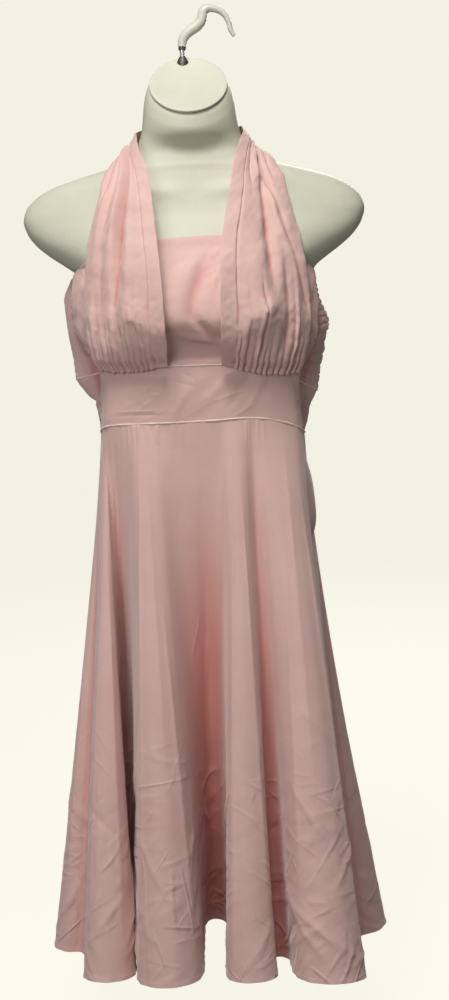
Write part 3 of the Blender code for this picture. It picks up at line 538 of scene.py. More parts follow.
# Meshes
def object_from(name: str, mesh: bmesh.types.BMesh, material: bpy.types.Material) -> bpy.types.Object:
    """Turn a bmesh into a smooth object of the scene.

    Args:
        name: The piece's name.
        mesh: The finished bmesh, freed here.
        material: Its material.

    Returns:
        The new object.
    """
    data = bpy.data.meshes.new(name)
    mesh.to_mesh(data)
    mesh.free()
    data.materials.append(material)
    data.shade_smooth()
    obj = bpy.data.objects.new(name, data)
    bpy.context.scene.collection.objects.link(obj)
    return obj


def hollows(grid: np.ndarray, reach: tuple[int, int], depth: float) -> np.ndarray:
    """Find where a sheet lies below its own smoothed shape; the cloth is painted darker there as shade.

    Args:
        grid: The sheet's points by row and column.
        reach: How far the smoothing reaches, in rows and columns.
        depth: The depth that counts as fully hollow.

    Returns:
        A share from 0 to 1 for every point.
    """
    smooth = grid
    for axis, cells in enumerate(reach):
        for _ in range(3):
            pads = [(cells, cells) if other == axis else (0, 0) for other in range(3)]
            wide = np.pad(smooth, pads, mode="reflect", reflect_type="odd")
            total = np.cumsum(np.insert(wide, 0, 0.0, axis=axis), axis=axis)
            size, span = smooth.shape[axis], 2 * cells + 1
            smooth = (np.take(total, range(span, span + size), axis=axis)
                      - np.take(total, range(size), axis=axis)) / span
    return smoothstep(0.05, 1.0, ((smooth - grid) * facing(grid)).sum(axis=-1) / depth)


def sheet_from(name: str, grid: np.ndarray, flat: np.ndarray, material: bpy.types.Material,
               thickness: float = CLOTH_THICKNESS, closed: bool = False,
               hollow: np.ndarray | None = None, crumple: np.ndarray | None = None) -> bpy.types.Object:
    """Lay a Blender grid onto the points of a sheet.

    Args:
        name: The piece's name.
        grid: Points by row and column, in the dress's coordinates; rows go up, columns to the right.
        flat: The same places on the flat cut, in metres, for the UV map.
        material: Its material.
        thickness: The wall set behind the sheet, or 0 for a single layer.
        closed: Whether the last column meets the first.
        hollow: How deep each point lies in a fold, from 0 to 1, where the cloth is painted darker as shade.
        crumple: How creased the cloth is there, from 0 to 1.

    Returns:
        The new object.
    """
    rows, columns = grid.shape[:2]
    mesh = bmesh.new()
    layer = mesh.loops.layers.uv.new("UVMap")
    # The first layer carries the share of painted shade; the second sets how creased the cloth is.
    depth, worn = mesh.verts.layers.float.new("hollow"), mesh.verts.layers.float.new("crumple")
    bmesh.ops.create_grid(mesh, x_segments=columns - 1, y_segments=rows - 1, size=0.5)
    for vert in mesh.verts:
        i, j = round((vert.co.y + 0.5) * (rows - 1)), round((vert.co.x + 0.5) * (columns - 1))
        vert.co = grid[i, j] + WAIST_FROM_HOOK
        vert[depth] = 0.0 if hollow is None else hollow[i, j]
        vert[worn] = 0.12 if crumple is None else crumple[i, j]
        vert.index = i * columns + j
    cut = flat.reshape(-1, 2)
    for face in mesh.faces:
        for loop in face.loops:
            loop[layer].uv = cut[loop.vert.index]
    if closed:
        bmesh.ops.remove_doubles(mesh, verts=mesh.verts, dist=0.00002)
    obj = object_from(name, mesh, material)
    if thickness:
        wall = obj.modifiers.new("cloth", "SOLIDIFY")
        wall.thickness = thickness
        wall.offset = -1.0
    return obj


def tube_along(name: str, line: np.ndarray, radii: Sequence[float], material: bpy.types.Material,
               sides: int = 6) -> bpy.types.Object:
    """Sweep a round section along a line, closed at both ends.

    Args:
        name: The piece's name.
        line: Points in the dress's coordinates.
        radii: The radius at every point.
        material: Its material.
        sides: A quarter of the section's sides, less two.

    Returns:
        The new object, a mesh.
    """
    curve = bpy.data.curves.new(name, "CURVE")
    curve.dimensions = "3D"
    spline = curve.splines.new("POLY")
    spline.points.add(len(line) - 1)
    for point, place, radius in zip(spline.points, line + WAIST_FROM_HOOK, radii):
        point.co = (*place, 1.0)
        point.radius = radius
    curve.bevel_depth = 1.0
    curve.bevel_resolution = sides
    curve.use_fill_caps = True
    path = bpy.data.objects.new(f"{name}_path", curve)
    mesh = bmesh.new()
    mesh.from_mesh(path.to_mesh())
    bpy.data.objects.remove(path)
    bmesh.ops.remove_doubles(mesh, verts=mesh.verts, dist=0.00002)
    bmesh.ops.recalc_face_normals(mesh, faces=mesh.faces)
    return object_from(name, mesh, material)


@dataclass(frozen=True)
class StitchRow:
    """A row of running stitches, each a small pill of thread sunk into the cloth."""

    pitch: float = 0.0032
    length: float = 0.0022
    radius: float = 0.00026

    def build(self, name: str, line: np.ndarray, normals: np.ndarray,
              material: bpy.types.Material) -> bpy.types.Object:
        """Set stitches along a line on the cloth.

        Args:
            name: The piece's name.
            line: The line's points in the dress's coordinates.
            normals: The cloth's outward normal at each.
            material: The thread's material.

        Returns:
            One object with all the stitches.
        """
        total = float(lengths_along(line)[-1])
        count = max(2, int(total / self.pitch))
        shares = (np.arange(count) + 0.5) / count
        places, outs = spread_along(line, shares), spread_along_values(line, normals, shares)
        ahead = spread_along(line, np.clip(shares + 0.3 / count, 0.0, 1.0)) - places
        mesh = bmesh.new()
        for place, out, run in zip(places, outs, ahead):
            along = Vector(run).normalized()
            outward = (Vector(out) - along * along.dot(Vector(out))).normalized()
            turn = Matrix((outward.cross(along), along, outward)).transposed().to_4x4()
            size = Matrix.Diagonal((self.radius, 0.5 * self.length, self.radius * 0.8, 1.0))
            spot = Matrix.Translation(Vector(place + WAIST_FROM_HOOK) + outward * self.radius * 0.25)
            bmesh.ops.create_icosphere(mesh, subdivisions=1, radius=1.0, matrix=spot @ turn @ size)
        return object_from(name, mesh, material)


def spread_along_values(line: np.ndarray, values: np.ndarray, shares: np.ndarray) -> np.ndarray:
    """Read values that belong to a polyline's points at shares of its length."""
    lengths = lengths_along(line)
    wanted = shares * lengths[-1]
    return np.stack([np.interp(wanted, lengths, values[:, axis]) for axis in range(values.shape[1])], axis=-1)


class Ground:
    """A surface that cloth rests on."""

    def __init__(self, grids: Iterable[tuple[np.ndarray, bool]]) -> None:
        """Index the faces of some grids, each with whether its columns close."""
        points: list[tuple[float, ...]] = []
        faces: list[tuple[int, ...]] = []
        for grid, closed in grids:
            rows, columns = grid.shape[:2]
            start = len(points)
            points += [tuple(point) for point in grid.reshape(-1, 3)]
            for i in range(rows - 1):
                for j in range(columns if closed else columns - 1):
                    k = (j + 1) % columns
                    low, high = start + i * columns, start + (i + 1) * columns
                    faces.append((low + j, low + k, high + k, high + j))
        self.tree = BVHTree.FromPolygons(points, faces)

    def clearance(self, grid: np.ndarray) -> np.ndarray:
        """Return how far each of a grid's points lies outside the surface."""
        depth = np.zeros(grid.shape[:2])
        for index in np.ndindex(grid.shape[:2]):
            point = Vector(grid[index])
            nearest, normal, _, distance = self.tree.find_nearest(point)
            depth[index] = math.copysign(distance, (point - nearest).dot(normal))
        return depth

    def lift(self, grid: np.ndarray, gap: float) -> np.ndarray:
        """Move a grid's points out until they keep a gap.

        Args:
            grid: The points by row and column.
            gap: The distance to keep, in metres.

        Returns:
            The moved copy.
        """
        moved = grid.copy()
        for index in np.ndindex(grid.shape[:2]):
            point = Vector(grid[index])
            nearest, normal, _, _ = self.tree.find_nearest(point)
            away = point - nearest
            depth = away.dot(normal)
            if depth < gap:
                beyond = (away - normal * depth).length
                moved[index] += np.array(normal) * (gap - depth) * (1.0 - smoothstep(0.003, 0.015, beyond))
        return moved


# The dress form
FORM = Profile(
    "z half_width front back shift tilt squareness",
    [
        (-0.174, 0.080, 0.040, 0.050, 0.006, 0, 2.2),
        (-0.171, 0.104, 0.056, 0.068, 0.006, 0, 2.2),
        (-0.158, 0.121, 0.068, 0.084, 0.006, 0, 2.2),
        (-0.125, 0.129, 0.076, 0.092, 0.004, 0, 2.3),
        (-0.085, 0.126, 0.078, 0.088, 0.002, 0, 2.3),
        (-0.045, 0.117, 0.077, 0.079, 0.000, 0, 2.4),
        (0.000, 0.1115, 0.0765, 0.072, 0.000, 0, 2.4),
        (0.035, 0.1105, 0.0770, 0.071, 0.000, 0, 2.4),
        (0.067, 0.1125, 0.0785, 0.074, 0.000, 0, 2.4),
        (0.100, 0.1195, 0.082, 0.080, 0.000, 0, 2.4),
        (0.135, 0.128, 0.084, 0.086, 0.002, 0, 2.4),
        (0.160, 0.134, 0.083, 0.088, 0.004, 0, 2.4),
        (0.174, 0.141, 0.081, 0.088, 0.005, 0, 2.4),
        (0.186, 0.156, 0.078, 0.086, 0.006, 0, 2.4),
        (0.198, 0.173, 0.074, 0.083, 0.007, 0, 2.4),
        (0.212, 0.189, 0.069, 0.079, 0.008, 0, 2.4),
        (0.226, 0.1985, 0.063, 0.074, 0.009, 0, 2.4),
        (0.240, 0.2025, 0.057, 0.068, 0.010, 0, 2.4),
        (0.254, 0.1985, 0.052, 0.062, 0.010, 0, 2.3),
        (0.267, 0.186, 0.048, 0.056, 0.010, 0, 2.2),
        (0.278, 0.166, 0.045, 0.051, 0.010, 0, 2.1),
        (0.287, 0.138, 0.0435, 0.049, 0.010, 0, 2.0),
        (0.294, 0.112, 0.043, 0.049, 0.009, 2, 2.0),
        (0.301, 0.090, 0.043, 0.049, 0.008, 5, 2.0),
        (0.310, 0.0745, 0.044, 0.049, 0.007, 10, 2.0),
        (0.322, 0.0640, 0.045, 0.049, 0.006, 16, 2.0),
        (0.338, 0.0575, 0.046, 0.049, 0.004, 24, 2.0),
        (0.354, 0.0550, 0.047, 0.049, 0.003, 31, 2.0),
        (0.368, 0.0530, 0.047, 0.048, 0.002, 37, 2.0),
        (0.379, 0.0500, 0.046, 0.046, 0.001, 40, 2.0),
        (0.386, 0.0460, 0.044, 0.044, 0.000, 40, 2.0),
        (0.3878, 0.0440, 0.0425, 0.0425, 0.000, 40, 2.0),
    ],
)


@dataclass
class DressForm:
    """The smooth torso with its shoulder stumps, the cap on its neck, the stem and the crook."""

    finishes: Finishes
    columns: int = 128
    rows_per_level: int = 5
    bust_half_spacing: float = 0.064
    bust_width: float = 0.043
    bust_rise: float = 0.036
    bust_heights: tuple[float, float, float] = (0.066, 0.116, 0.215)
    cap_radius: float = 0.0455
    cap_thickness: float = 0.003
    cap_tilt: float = math.radians(40.0)
    stem_place: tuple[float, float] = (-0.0052, 0.036)
    stem_radius: float = 0.0031
    clamp_radius: float = 0.0046
    clamp_heights: tuple[float, float] = (0.4360, 0.4390)

    def bust(self, x: Any, z: Any) -> Any:
        """Return how far the bust stands out at x and z."""
        low, apex, top = self.bust_heights
        rise = smoothstep(low, apex, z) * (1.0 - smoothstep(apex, top, z))
        left = np.exp(-(((x + self.bust_half_spacing) / self.bust_width) ** 2))
        right = np.exp(-(((x - self.bust_half_spacing) / self.bust_width) ** 2))
        return self.bust_rise * rise * (left + right)

    def front(self, x: Any, z: Any) -> Any:
        """Return the y of the form's front at x and z."""
        squareness = FORM.at(z, "squareness")
        inside = np.maximum(0.0, 1.0 - np.abs(x / FORM.at(z, "half_width")) ** squareness)
        plain = FORM.at(z, "shift") - FORM.at(z, "front") * inside ** (1.0 / squareness)
        return plain - self.bust(x, z) * np.minimum(1.0, 3.0 * inside)

    def grid(self) -> np.ndarray:
        """Work out the torso's sections as a grid whose columns close."""
        levels = FORM.values[:, 0]
        z = np.concatenate([np.linspace(a, b, self.rows_per_level, endpoint=False)
                            for a, b in zip(levels[:-1], levels[1:])] + [levels[-1:]])[:, None]
        angle = np.linspace(0.0, 2.0 * math.pi, self.columns, endpoint=False)[None, :]
        c, s = np.cos(angle), np.sin(angle)
        power = 2.0 / FORM.at(z, "squareness")
        x = FORM.at(z, "half_width") * np.sign(c) * np.abs(c) ** power
        reach = np.sign(s) * np.abs(s) ** power
        depth = np.where(s < 0.0, FORM.at(z, "front"), FORM.at(z, "back"))
        inside = 1.0 - c**2
        y = FORM.at(z, "shift") + depth * reach
        y = y - np.where(s < 0.0, self.bust(x, z) * np.minimum(1.0, 3.0 * inside), 0.0)
        y = y + np.where(s < 0.0, 0.0105 * np.exp(-(((z - 0.324) / 0.024) ** 2)) * inside, 0.0)
        collar = np.exp(-(((z - 0.262 - 0.16 * (np.abs(x) - 0.02)) / 0.009) ** 2))
        collar = collar * smoothstep(0.012, 0.03, np.abs(x)) * (1.0 - smoothstep(0.10, 0.15, np.abs(x)))
        y = y - np.where(s < 0.0, 0.0022 * collar * inside, 0.0)
        lean = np.tan(np.radians(FORM.at(z, "tilt")))
        return np.stack([x, y, z + lean * (y - FORM.at(z, "shift"))], axis=-1)

    def torso(self, grid: np.ndarray) -> bpy.types.Object:
        """Close the torso's grid at both ends and dress it."""
        closed = np.concatenate([grid, grid[:, :1]], axis=1)
        flat = np.zeros((*closed.shape[:2], 2))
        torso = sheet_from("torso", closed, flat, self.finishes.shell, thickness=0.0, closed=True)
        mesh = bmesh.new()
        mesh.from_mesh(torso.data)
        bmesh.ops.holes_fill(mesh, edges=[edge for edge in mesh.edges if edge.is_boundary], sides=0)
        bmesh.ops.recalc_face_normals(mesh, faces=mesh.faces)
        mesh.to_mesh(torso.data)
        mesh.free()
        torso.data.shade_smooth()
        return torso

    def neck_plane(self) -> tuple[Vector, Vector, Matrix]:
        """Return the cap's lower centre, its normal and its turn."""
        turn = Matrix.Rotation(self.cap_tilt, 4, "X")
        normal = turn @ Vector((0.0, 0.0, 1.0))
        return Vector((0.0, 0.0, FORM.values[-1, 0])) + normal * SEAM_GAP, normal, turn

    def cap(self) -> bpy.types.Object:
        """Make the slanted disc that closes the neck, with a small rounded rim and a shallow dish."""
        seat, normal, turn = self.neck_plane()
        mesh = bmesh.new()
        bmesh.ops.create_cone(mesh, cap_ends=True, segments=96, radius1=self.cap_radius, radius2=self.cap_radius,
                              depth=self.cap_thickness)
        rims = [edge for edge in mesh.edges if abs(edge.verts[0].co.z - edge.verts[1].co.z) < 1e-6]
        bmesh.ops.bevel(mesh, geom=rims, offset=0.0009, segments=3, affect="EDGES", profile=0.5, material=-1)
        top = [face for face in mesh.faces if face.normal.z > 0.99 and len(face.verts) > 8]
        bmesh.ops.inset_region(mesh, faces=top, thickness=0.0035, depth=0.0)
        bmesh.ops.inset_region(mesh, faces=top, thickness=0.0012, depth=-0.0004)
        stretch = Matrix.Diagonal((1.0, 1.0 / math.cos(self.cap_tilt), 1.0, 1.0))
        middle = seat + normal * (self.cap_thickness / 2) + Vector(WAIST_FROM_HOOK)
        bmesh.ops.transform(mesh, matrix=Matrix.Translation(middle) @ turn @ stretch, verts=mesh.verts)
        bmesh.ops.recalc_face_normals(mesh, faces=mesh.faces)
        cap = object_from("neck_disc", mesh, self.finishes.cap)
        cap.data.set_sharp_from_angle(angle=math.radians(35.0))
        return cap

    def turned(self, name: str, profile: Sequence[tuple[float, float]], material: bpy.types.Material,
               cut: tuple[Vector, Vector] | None = None) -> bpy.types.Object:
        """Spin a profile round the stem's axis.

        Args:
            name: The piece's name.
            profile: Radius and height pairs, from the bottom up, starting and ending on the axis.
            material: Its material.
            cut: A plane's point and normal; what lies behind it is cut off.

        Returns:
            The new object.
        """
        x, y = self.stem_place
        mesh = bmesh.new()
        verts = [mesh.verts.new((x + radius, y, z)) for radius, z in profile]
        edges = [mesh.edges.new(pair) for pair in zip(verts[:-1], verts[1:])]
        bmesh.ops.spin(mesh, geom=verts + edges, cent=(x, y, 0.0), axis=(0.0, 0.0, 1.0), angle=2.0 * math.pi,
                       steps=40, use_merge=True, use_duplicate=False)
        bmesh.ops.remove_doubles(mesh, verts=mesh.verts, dist=0.00001)
        if cut is not None:
            bmesh.ops.bisect_plane(mesh, geom=mesh.verts[:] + mesh.edges[:] + mesh.faces[:], plane_co=cut[0],
                                   plane_no=cut[1], clear_inner=True)
            bmesh.ops.holes_fill(mesh, edges=[edge for edge in mesh.edges if edge.is_boundary], sides=0)
        bmesh.ops.translate(mesh, vec=Vector(WAIST_FROM_HOOK), verts=mesh.verts)
        bmesh.ops.recalc_face_normals(mesh, faces=mesh.faces)
        obj = object_from(name, mesh, material)
        obj.data.set_sharp_from_angle(angle=math.radians(40.0))
        return obj

    def stem(self) -> list[bpy.types.Object]:
        """Make the metal stem, the collar at its foot and the dark clamp under the crook."""
        seat, normal, _ = self.neck_plane()
        top = seat + normal * (self.cap_thickness + SEAM_GAP)
        foot = top.z + (self.stem_place[1] - top.y) * math.tan(self.cap_tilt)
        r, low, high = self.stem_radius, *self.clamp_heights
        cut = (Vector((*self.stem_place, foot)), normal)
        cone = [(0.0, foot - 0.012), (0.0068, foot - 0.012), (0.0068, foot - 0.0002), (0.0060, foot + 0.0012),
                (r + 0.0006, foot + 0.0055), (0.0, foot + 0.0055)]
        collar = self.turned("stem_collar", cone, self.finishes.dark, cut)
        rings = [(0.0, foot + 0.0056), (r, foot + 0.0056)]
        for turn in range(4):
            z = foot + 0.0062 + turn * 0.0012
            rings += [(r, z), (r - 0.0003, z + 0.0003), (r - 0.0003, z + 0.0008), (r, z + 0.0011)]
        stem = self.turned("stem_rod", [*rings, (r, low - 0.0001), (0.0, low - 0.0001)], self.finishes.metal)
        c = self.clamp_radius
        clamp = self.turned("stem_clamp", [(0.0, low), (c - 0.0006, low), (c, low + 0.0006), (c, high - 0.0006),
                                           (c - 0.0006, high), (0.0, high)], self.finishes.dark)
        return [stem, collar, clamp]

    def crook(self) -> bpy.types.Object:
        """Make the moulded crook, thick on its riser and thin at its tip."""
        y = self.stem_place[1]
        line = curve_through([(x, y, z, radius) for _, x, z, radius in HOOK_LINE.values], per_span=8)
        hook = tube_along("crook", line[:, :3], line[:, 3], self.finishes.hook, sides=5)
        round_off = hook.modifiers.new("rounded", "BEVEL")
        round_off.width = 0.0012
        round_off.segments = 3
        round_off.limit_method = "ANGLE"
        round_off.angle_limit = math.radians(60.0)
        return hook

    def build(self) -> np.ndarray:
        """Build all of the form's pieces and return the torso's grid."""
        grid = self.grid()
        ride(self.torso(grid), "form_shell", "form_torso")
        ride(self.cap(), "neck_cap", "form_cap")
        stem, *fittings = self.stem()
        ride(stem, "stem_metal", "hook_stem")
        for fitting in fittings:
            ride(fitting, "stem_metal")
        ride(self.crook(), "hook_plastic", "hook_crook")
        return grid


HOOK_LINE = Profile(
    "point x z radius",
    [
        (0, -0.0052, 0.4393, 0.0050),
        (1, -0.0046, 0.4450, 0.0054),
        (2, -0.0012, 0.4520, 0.0058),
        (3, 0.0050, 0.4575, 0.0060),
        (4, 0.0125, 0.4620, 0.0062),
        (5, 0.0185, 0.4680, 0.0061),
        (6, 0.0205, 0.4745, 0.0060),
        (7, 0.0225, 0.4800, 0.0056),
        (8, 0.0280, 0.4825, 0.0048),
        (9, 0.0350, 0.4818, 0.0042),
        (10, 0.0425, 0.4785, 0.0038),
        (11, 0.0485, 0.4725, 0.0035),
        (12, 0.0518, 0.4650, 0.0032),
        (13, 0.0534, 0.4570, 0.0029),
        (14, 0.0575, 0.4495, 0.0022),
    ],
)


def ride(piece: bpy.types.Object, slot: str, *nodes: str) -> bpy.types.Object:
    """Put a piece on the one body and hide the nodes it stands for."""
    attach(piece, "root")
    if nodes:
        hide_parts(*nodes)
    LOG.info("%s: %d faces", piece.name, len(piece.data.polygons))
    return piece


# The waistband and the strapless bodice: station 0 is the lower waist seam, 1 the upper one and 2 the top edge.
SEAM = {
    -1: Profile("station x y z", [
        (0.0, -0.1235, -0.014, -0.0105), (0.5, -0.1205, -0.028, 0.0280), (1.0, -0.1185, -0.041, 0.0645),
        (1.2, -0.1290, -0.040, 0.0840), (1.45, -0.1450, -0.033, 0.1120), (1.75, -0.1480, -0.030, 0.1450),
        (2.0, -0.1440, -0.027, 0.1740)]),
    1: Profile("station x y z", [
        (0.0, 0.1185, -0.014, -0.0205), (0.5, 0.1155, -0.028, 0.0150), (1.0, 0.1140, -0.041, 0.0500),
        (1.2, 0.1250, -0.040, 0.0700), (1.45, 0.1390, -0.033, 0.1000), (1.75, 0.1390, -0.030, 0.1370),
        (2.0, 0.1365, -0.027, 0.1680)]),
}
SLACK = {
    -1: Profile("station x y z", [
        (0.0, -0.1245, 0.012, -0.0140), (0.35, -0.1290, 0.014, 0.0170), (0.7, -0.1420, 0.016, 0.0370),
        (1.0, -0.1515, 0.018, 0.0520), (1.2, -0.1535, 0.016, 0.0750), (1.45, -0.1580, 0.012, 0.1080),
        (1.75, -0.1600, 0.008, 0.1450), (2.0, -0.1500, 0.002, 0.1690)]),
    1: Profile("station x y z", [
        (0.0, 0.1210, 0.012, -0.0240), (0.35, 0.1250, 0.014, -0.0040), (0.7, 0.1320, 0.016, 0.0120),
        (1.0, 0.1390, 0.018, 0.0260), (1.2, 0.1440, 0.016, 0.0560), (1.45, 0.1555, 0.012, 0.1040),
        (1.75, 0.1440, 0.006, 0.1370), (2.0, 0.1390, 0.000, 0.1620)]),
}
TUCK = Profile("station left right along", [
    (0.0, 0.0005, 0.0005, 0.45), (0.5, 0.0040, 0.0040, 0.42), (0.85, 0.0100, 0.0080, 0.40),
    (1.1, 0.0100, 0.0090, 0.40), (1.45, 0.0060, 0.0060, 0.42), (2.0, 0.0015, 0.0015, 0.45)])
BACK = Profile("station half_width y z", [
    (0.0, 0.083, 0.0790, -0.012), (0.5, 0.088, 0.0800, 0.016), (1.0, 0.094, 0.0840, 0.044),
    (1.5, 0.100, 0.0930, 0.092), (2.0, 0.100, 0.0980, 0.140)])
FRONT_EDGES = Profile("across lower upper top", [
    (-1.00, -0.0105, 0.0645, 0.1740), (-0.90, -0.0010, 0.0665, 0.1860), (-0.60, 0.0004, 0.0660, 0.2030),
    (0.00, 0.0008, 0.0648, 0.2090), (0.38, 0.0022, 0.0640, 0.2095), (0.64, -0.0010, 0.0620, 0.2000),
    (0.92, -0.0125, 0.0530, 0.1780), (1.00, -0.0205, 0.0500, 0.1680)])


class Side(Enum):
    """The two halves that a maker cuts for each part of the body of the dress."""

    FRONT = 0
    BACK = 1


@dataclass
class Trunk:
    """The waistband and the strapless bodice, with their seams."""

    finishes: Finishes
    form: DressForm
    ground: Ground
    waist_depth: float = 0.0805
    waist_squareness: float = 2.6
    corner_spread: float = 1.05
    cloth_gap: float = 0.0016
    shirring_ridges: int = 15
    shirring_height: float = 0.0013
    across_waist: tuple[float, ...] = (-0.93, -0.82, -0.64, -0.4, -0.13, 0.13, 0.4, 0.64, 0.82, 0.93)
    across_bodice: tuple[float, ...] = (-0.93, -0.82, -0.66, -0.44, -0.2, 0.0, 0.2, 0.44, 0.66, 0.82, 0.93)

    def waist_points(self, station: float) -> list[tuple[float, float, float]]:
        """Return the waistband's front between the side seams at a station."""
        points = []
        for across in self.across_waist:
            x = abs(across) * SEAM[-1 if across < 0 else 1].at(station, "x")
            reach = 1.0 - abs(across / self.corner_spread) ** self.waist_squareness
            y = -self.waist_depth * reach ** (1.0 / self.waist_squareness) - 0.0015 * station
            low, high = FRONT_EDGES.at(across, "lower"), FRONT_EDGES.at(across, "upper")
            points.append((x, y, low + (high - low) * station))
        return points

    def bodice_points(self, station: float) -> list[tuple[float, float, float]]:
        """Return the strapless front between the side seams at a station."""
        points = []
        for across in self.across_bodice:
            side = SEAM[-1 if across < 0 else 1].point(station)
            x = abs(across) * side[0]
            low, high = FRONT_EDGES.at(across, "upper"), FRONT_EDGES.at(across, "top")
            z = low + (high - low) * (station - 1.0)
            y = float(self.form.front(x, z))
            if abs(x) < self.form.bust_half_spacing:
                y += 0.75 * min(0.0, float(self.form.front(self.form.bust_half_spacing, z)) - y)
            share = max(0.0, (abs(across) - 0.6) / 0.4) ** 2
            y = (1.0 - share) * min(y, float(self.form.front(0.66 * side[0], z))) + share * side[1]
            reach = 1.0 - abs(across / self.corner_spread) ** self.waist_squareness
            waist = -0.082 * reach ** (1.0 / self.waist_squareness)
            near_band = 1.0 - smoothstep(1.0, 1.15, station)
            points.append((x, near_band * waist + (1.0 - near_band) * y, z))
        return points

    def tucked(self, side: int, station: float) -> np.ndarray:
        """Return the bottom of the tuck between a side seam and the slack cloth."""
        start, end = SEAM[side].point(station), SLACK[side].point(station)
        point = start + (end - start) * TUCK.at(station, "along")
        point[0] -= side * TUCK.at(station, "left" if side < 0 else "right")
        return point

    def ring(self, station: float) -> tuple[np.ndarray, np.ndarray]:
        """Return the front, left to right, and the back, right to left, of the outline at a station."""
        front = self.waist_points(station) if station <= 1.0 else self.bodice_points(station)
        half, y, z = (BACK.at(station, name) for name in ("half_width", "y", "z"))
        left, right = SLACK[-1].point(station), SLACK[1].point(station)
        back = [self.tucked(1, station), right,
                (half, 0.62 * y + 0.38 * right[1] + 0.010, 0.5 * (z + right[2])),
                (0.45 * half, 0.97 * y, z), (0.0, y, z), (-0.45 * half, 0.97 * y, z),
                (-half, 0.62 * y + 0.38 * left[1] + 0.010, 0.5 * (z + left[2])), left, self.tucked(-1, station)]
        line = curve_through([SEAM[-1].point(station), *front, SEAM[1].point(station), *back], closed=True)
        turn = (len(front) + 1) * 16
        return line[: turn + 1], line[turn:]

    def panel(self, side: Side, stations: np.ndarray, columns: int, above: float = 0.0) -> np.ndarray:
        """Work out one panel's grid between two stations.

        Args:
            side: The front or the back.
            stations: The stations of its rows.
            columns: The number of its columns.
            above: How far it is lifted off the seam below it.

        Returns:
            The points by row and column.
        """
        rows = []
        for station in stations:
            line = self.ring(float(station))[side.value]
            edge = 0.5 * SEAM_GAP / float(lengths_along(line)[-1])
            rows.append(spread_along(line, np.linspace(edge, 1.0 - edge, columns)))
        grid = np.array(rows) + (0.0, 0.0, above)
        return self.ground.lift(grid, self.cloth_gap)

    def creased(self, grid: np.ndarray, creases: Sequence[Crease], wave: float,
                seed: int) -> tuple[np.ndarray, np.ndarray]:
        """Press creases into a panel.

        Args:
            grid: The smooth panel.
            creases: Its creases, in metres from its lower left corner.
            wave: The height of the broad unevenness.
            seed: The seed of that unevenness.

        Returns:
            The creased panel and its flat cut.
        """
        u, v = flat_lengths(grid)
        height = wave * ripples(u, v, 0.06, seed) + 0.3 * wave * ripples(u, v, 0.022, seed + 1)
        for crease in creases:
            height = height + crease.height_at(u, v)
        return self.ground.lift(grid + facing(grid) * height[..., None], 0.0011), np.stack([u, v], axis=-1)

    def bodice_front(self) -> np.ndarray:
        """Make the strapless front, sunken between the bust and slack at its sides."""
        grid = self.panel(Side.FRONT, np.linspace(1.0, 2.0, 84), 190, above=0.0004)
        width = float(flat_lengths(grid)[0][40, -1])
        middle = 0.5 * width
        creases = [
            Crease((middle - 0.012, 0.016), (middle + 0.001, 0.144), -0.0040, 0.0070),
            Crease((middle + 0.014, 0.080), (middle + 0.018, 0.140), 0.0026, 0.0050),
            Crease((middle + 0.001, 0.121), (middle + 0.019, 0.128), -0.0020, 0.0028, Fall.CRISP),
            Crease((middle + 0.002, 0.110), (middle + 0.018, 0.117), -0.0016, 0.0024, Fall.CRISP),
            Crease((middle - 0.050, 0.028), (middle + 0.022, 0.002), -0.0044, 0.0055),
            Crease((middle - 0.044, 0.040), (middle + 0.012, 0.018), 0.0026, 0.0060),
            Crease((middle - 0.030, 0.080), (middle - 0.004, 0.144), 0.0018, 0.0120),
            Crease((middle + 0.006, 0.136), (middle + 0.014, 0.147), 0.0020, 0.0040, Fall.CRISP),
            Crease((0.006, 0.045), (0.030, 0.095), -0.0022, 0.0040, Fall.CRISP),
            Crease((0.010, 0.070), (0.028, 0.115), 0.0016, 0.0035, Fall.CRISP),
            Crease((width - 0.012, 0.030), (width - 0.030, 0.090), -0.0024, 0.0050),
            Crease((width - 0.006, 0.060), (width - 0.022, 0.118), 0.0016, 0.0040, Fall.CRISP),
        ]
        creases += Scatter(26, (0.0, 0.01), (width, 0.13), (0.014, 0.05), (0.0003, 0.0009), (0.0016, 0.0036),
                           (0.0, 80.0), 11).creases()
        grid, flat = self.creased(grid, creases, 0.0006, 21)
        top = np.linspace(0.0, 1.0, grid.shape[0])[:, None]
        grid = grid + facing(grid) * (0.0006 * smoothstep(0.93, 0.97, top))[..., None]
        # Its folds are painted darker as shade.
        piece = ride(sheet_from("bodice_front_cloth", grid, flat, self.finishes.cloth,
                                hollow=0.6 * hollows(grid, (4, 8), 0.005)), "dress_cloth", "bodice_front")
        hem = self.stitches("bodice_top_stitches", grid, -6)
        return grid

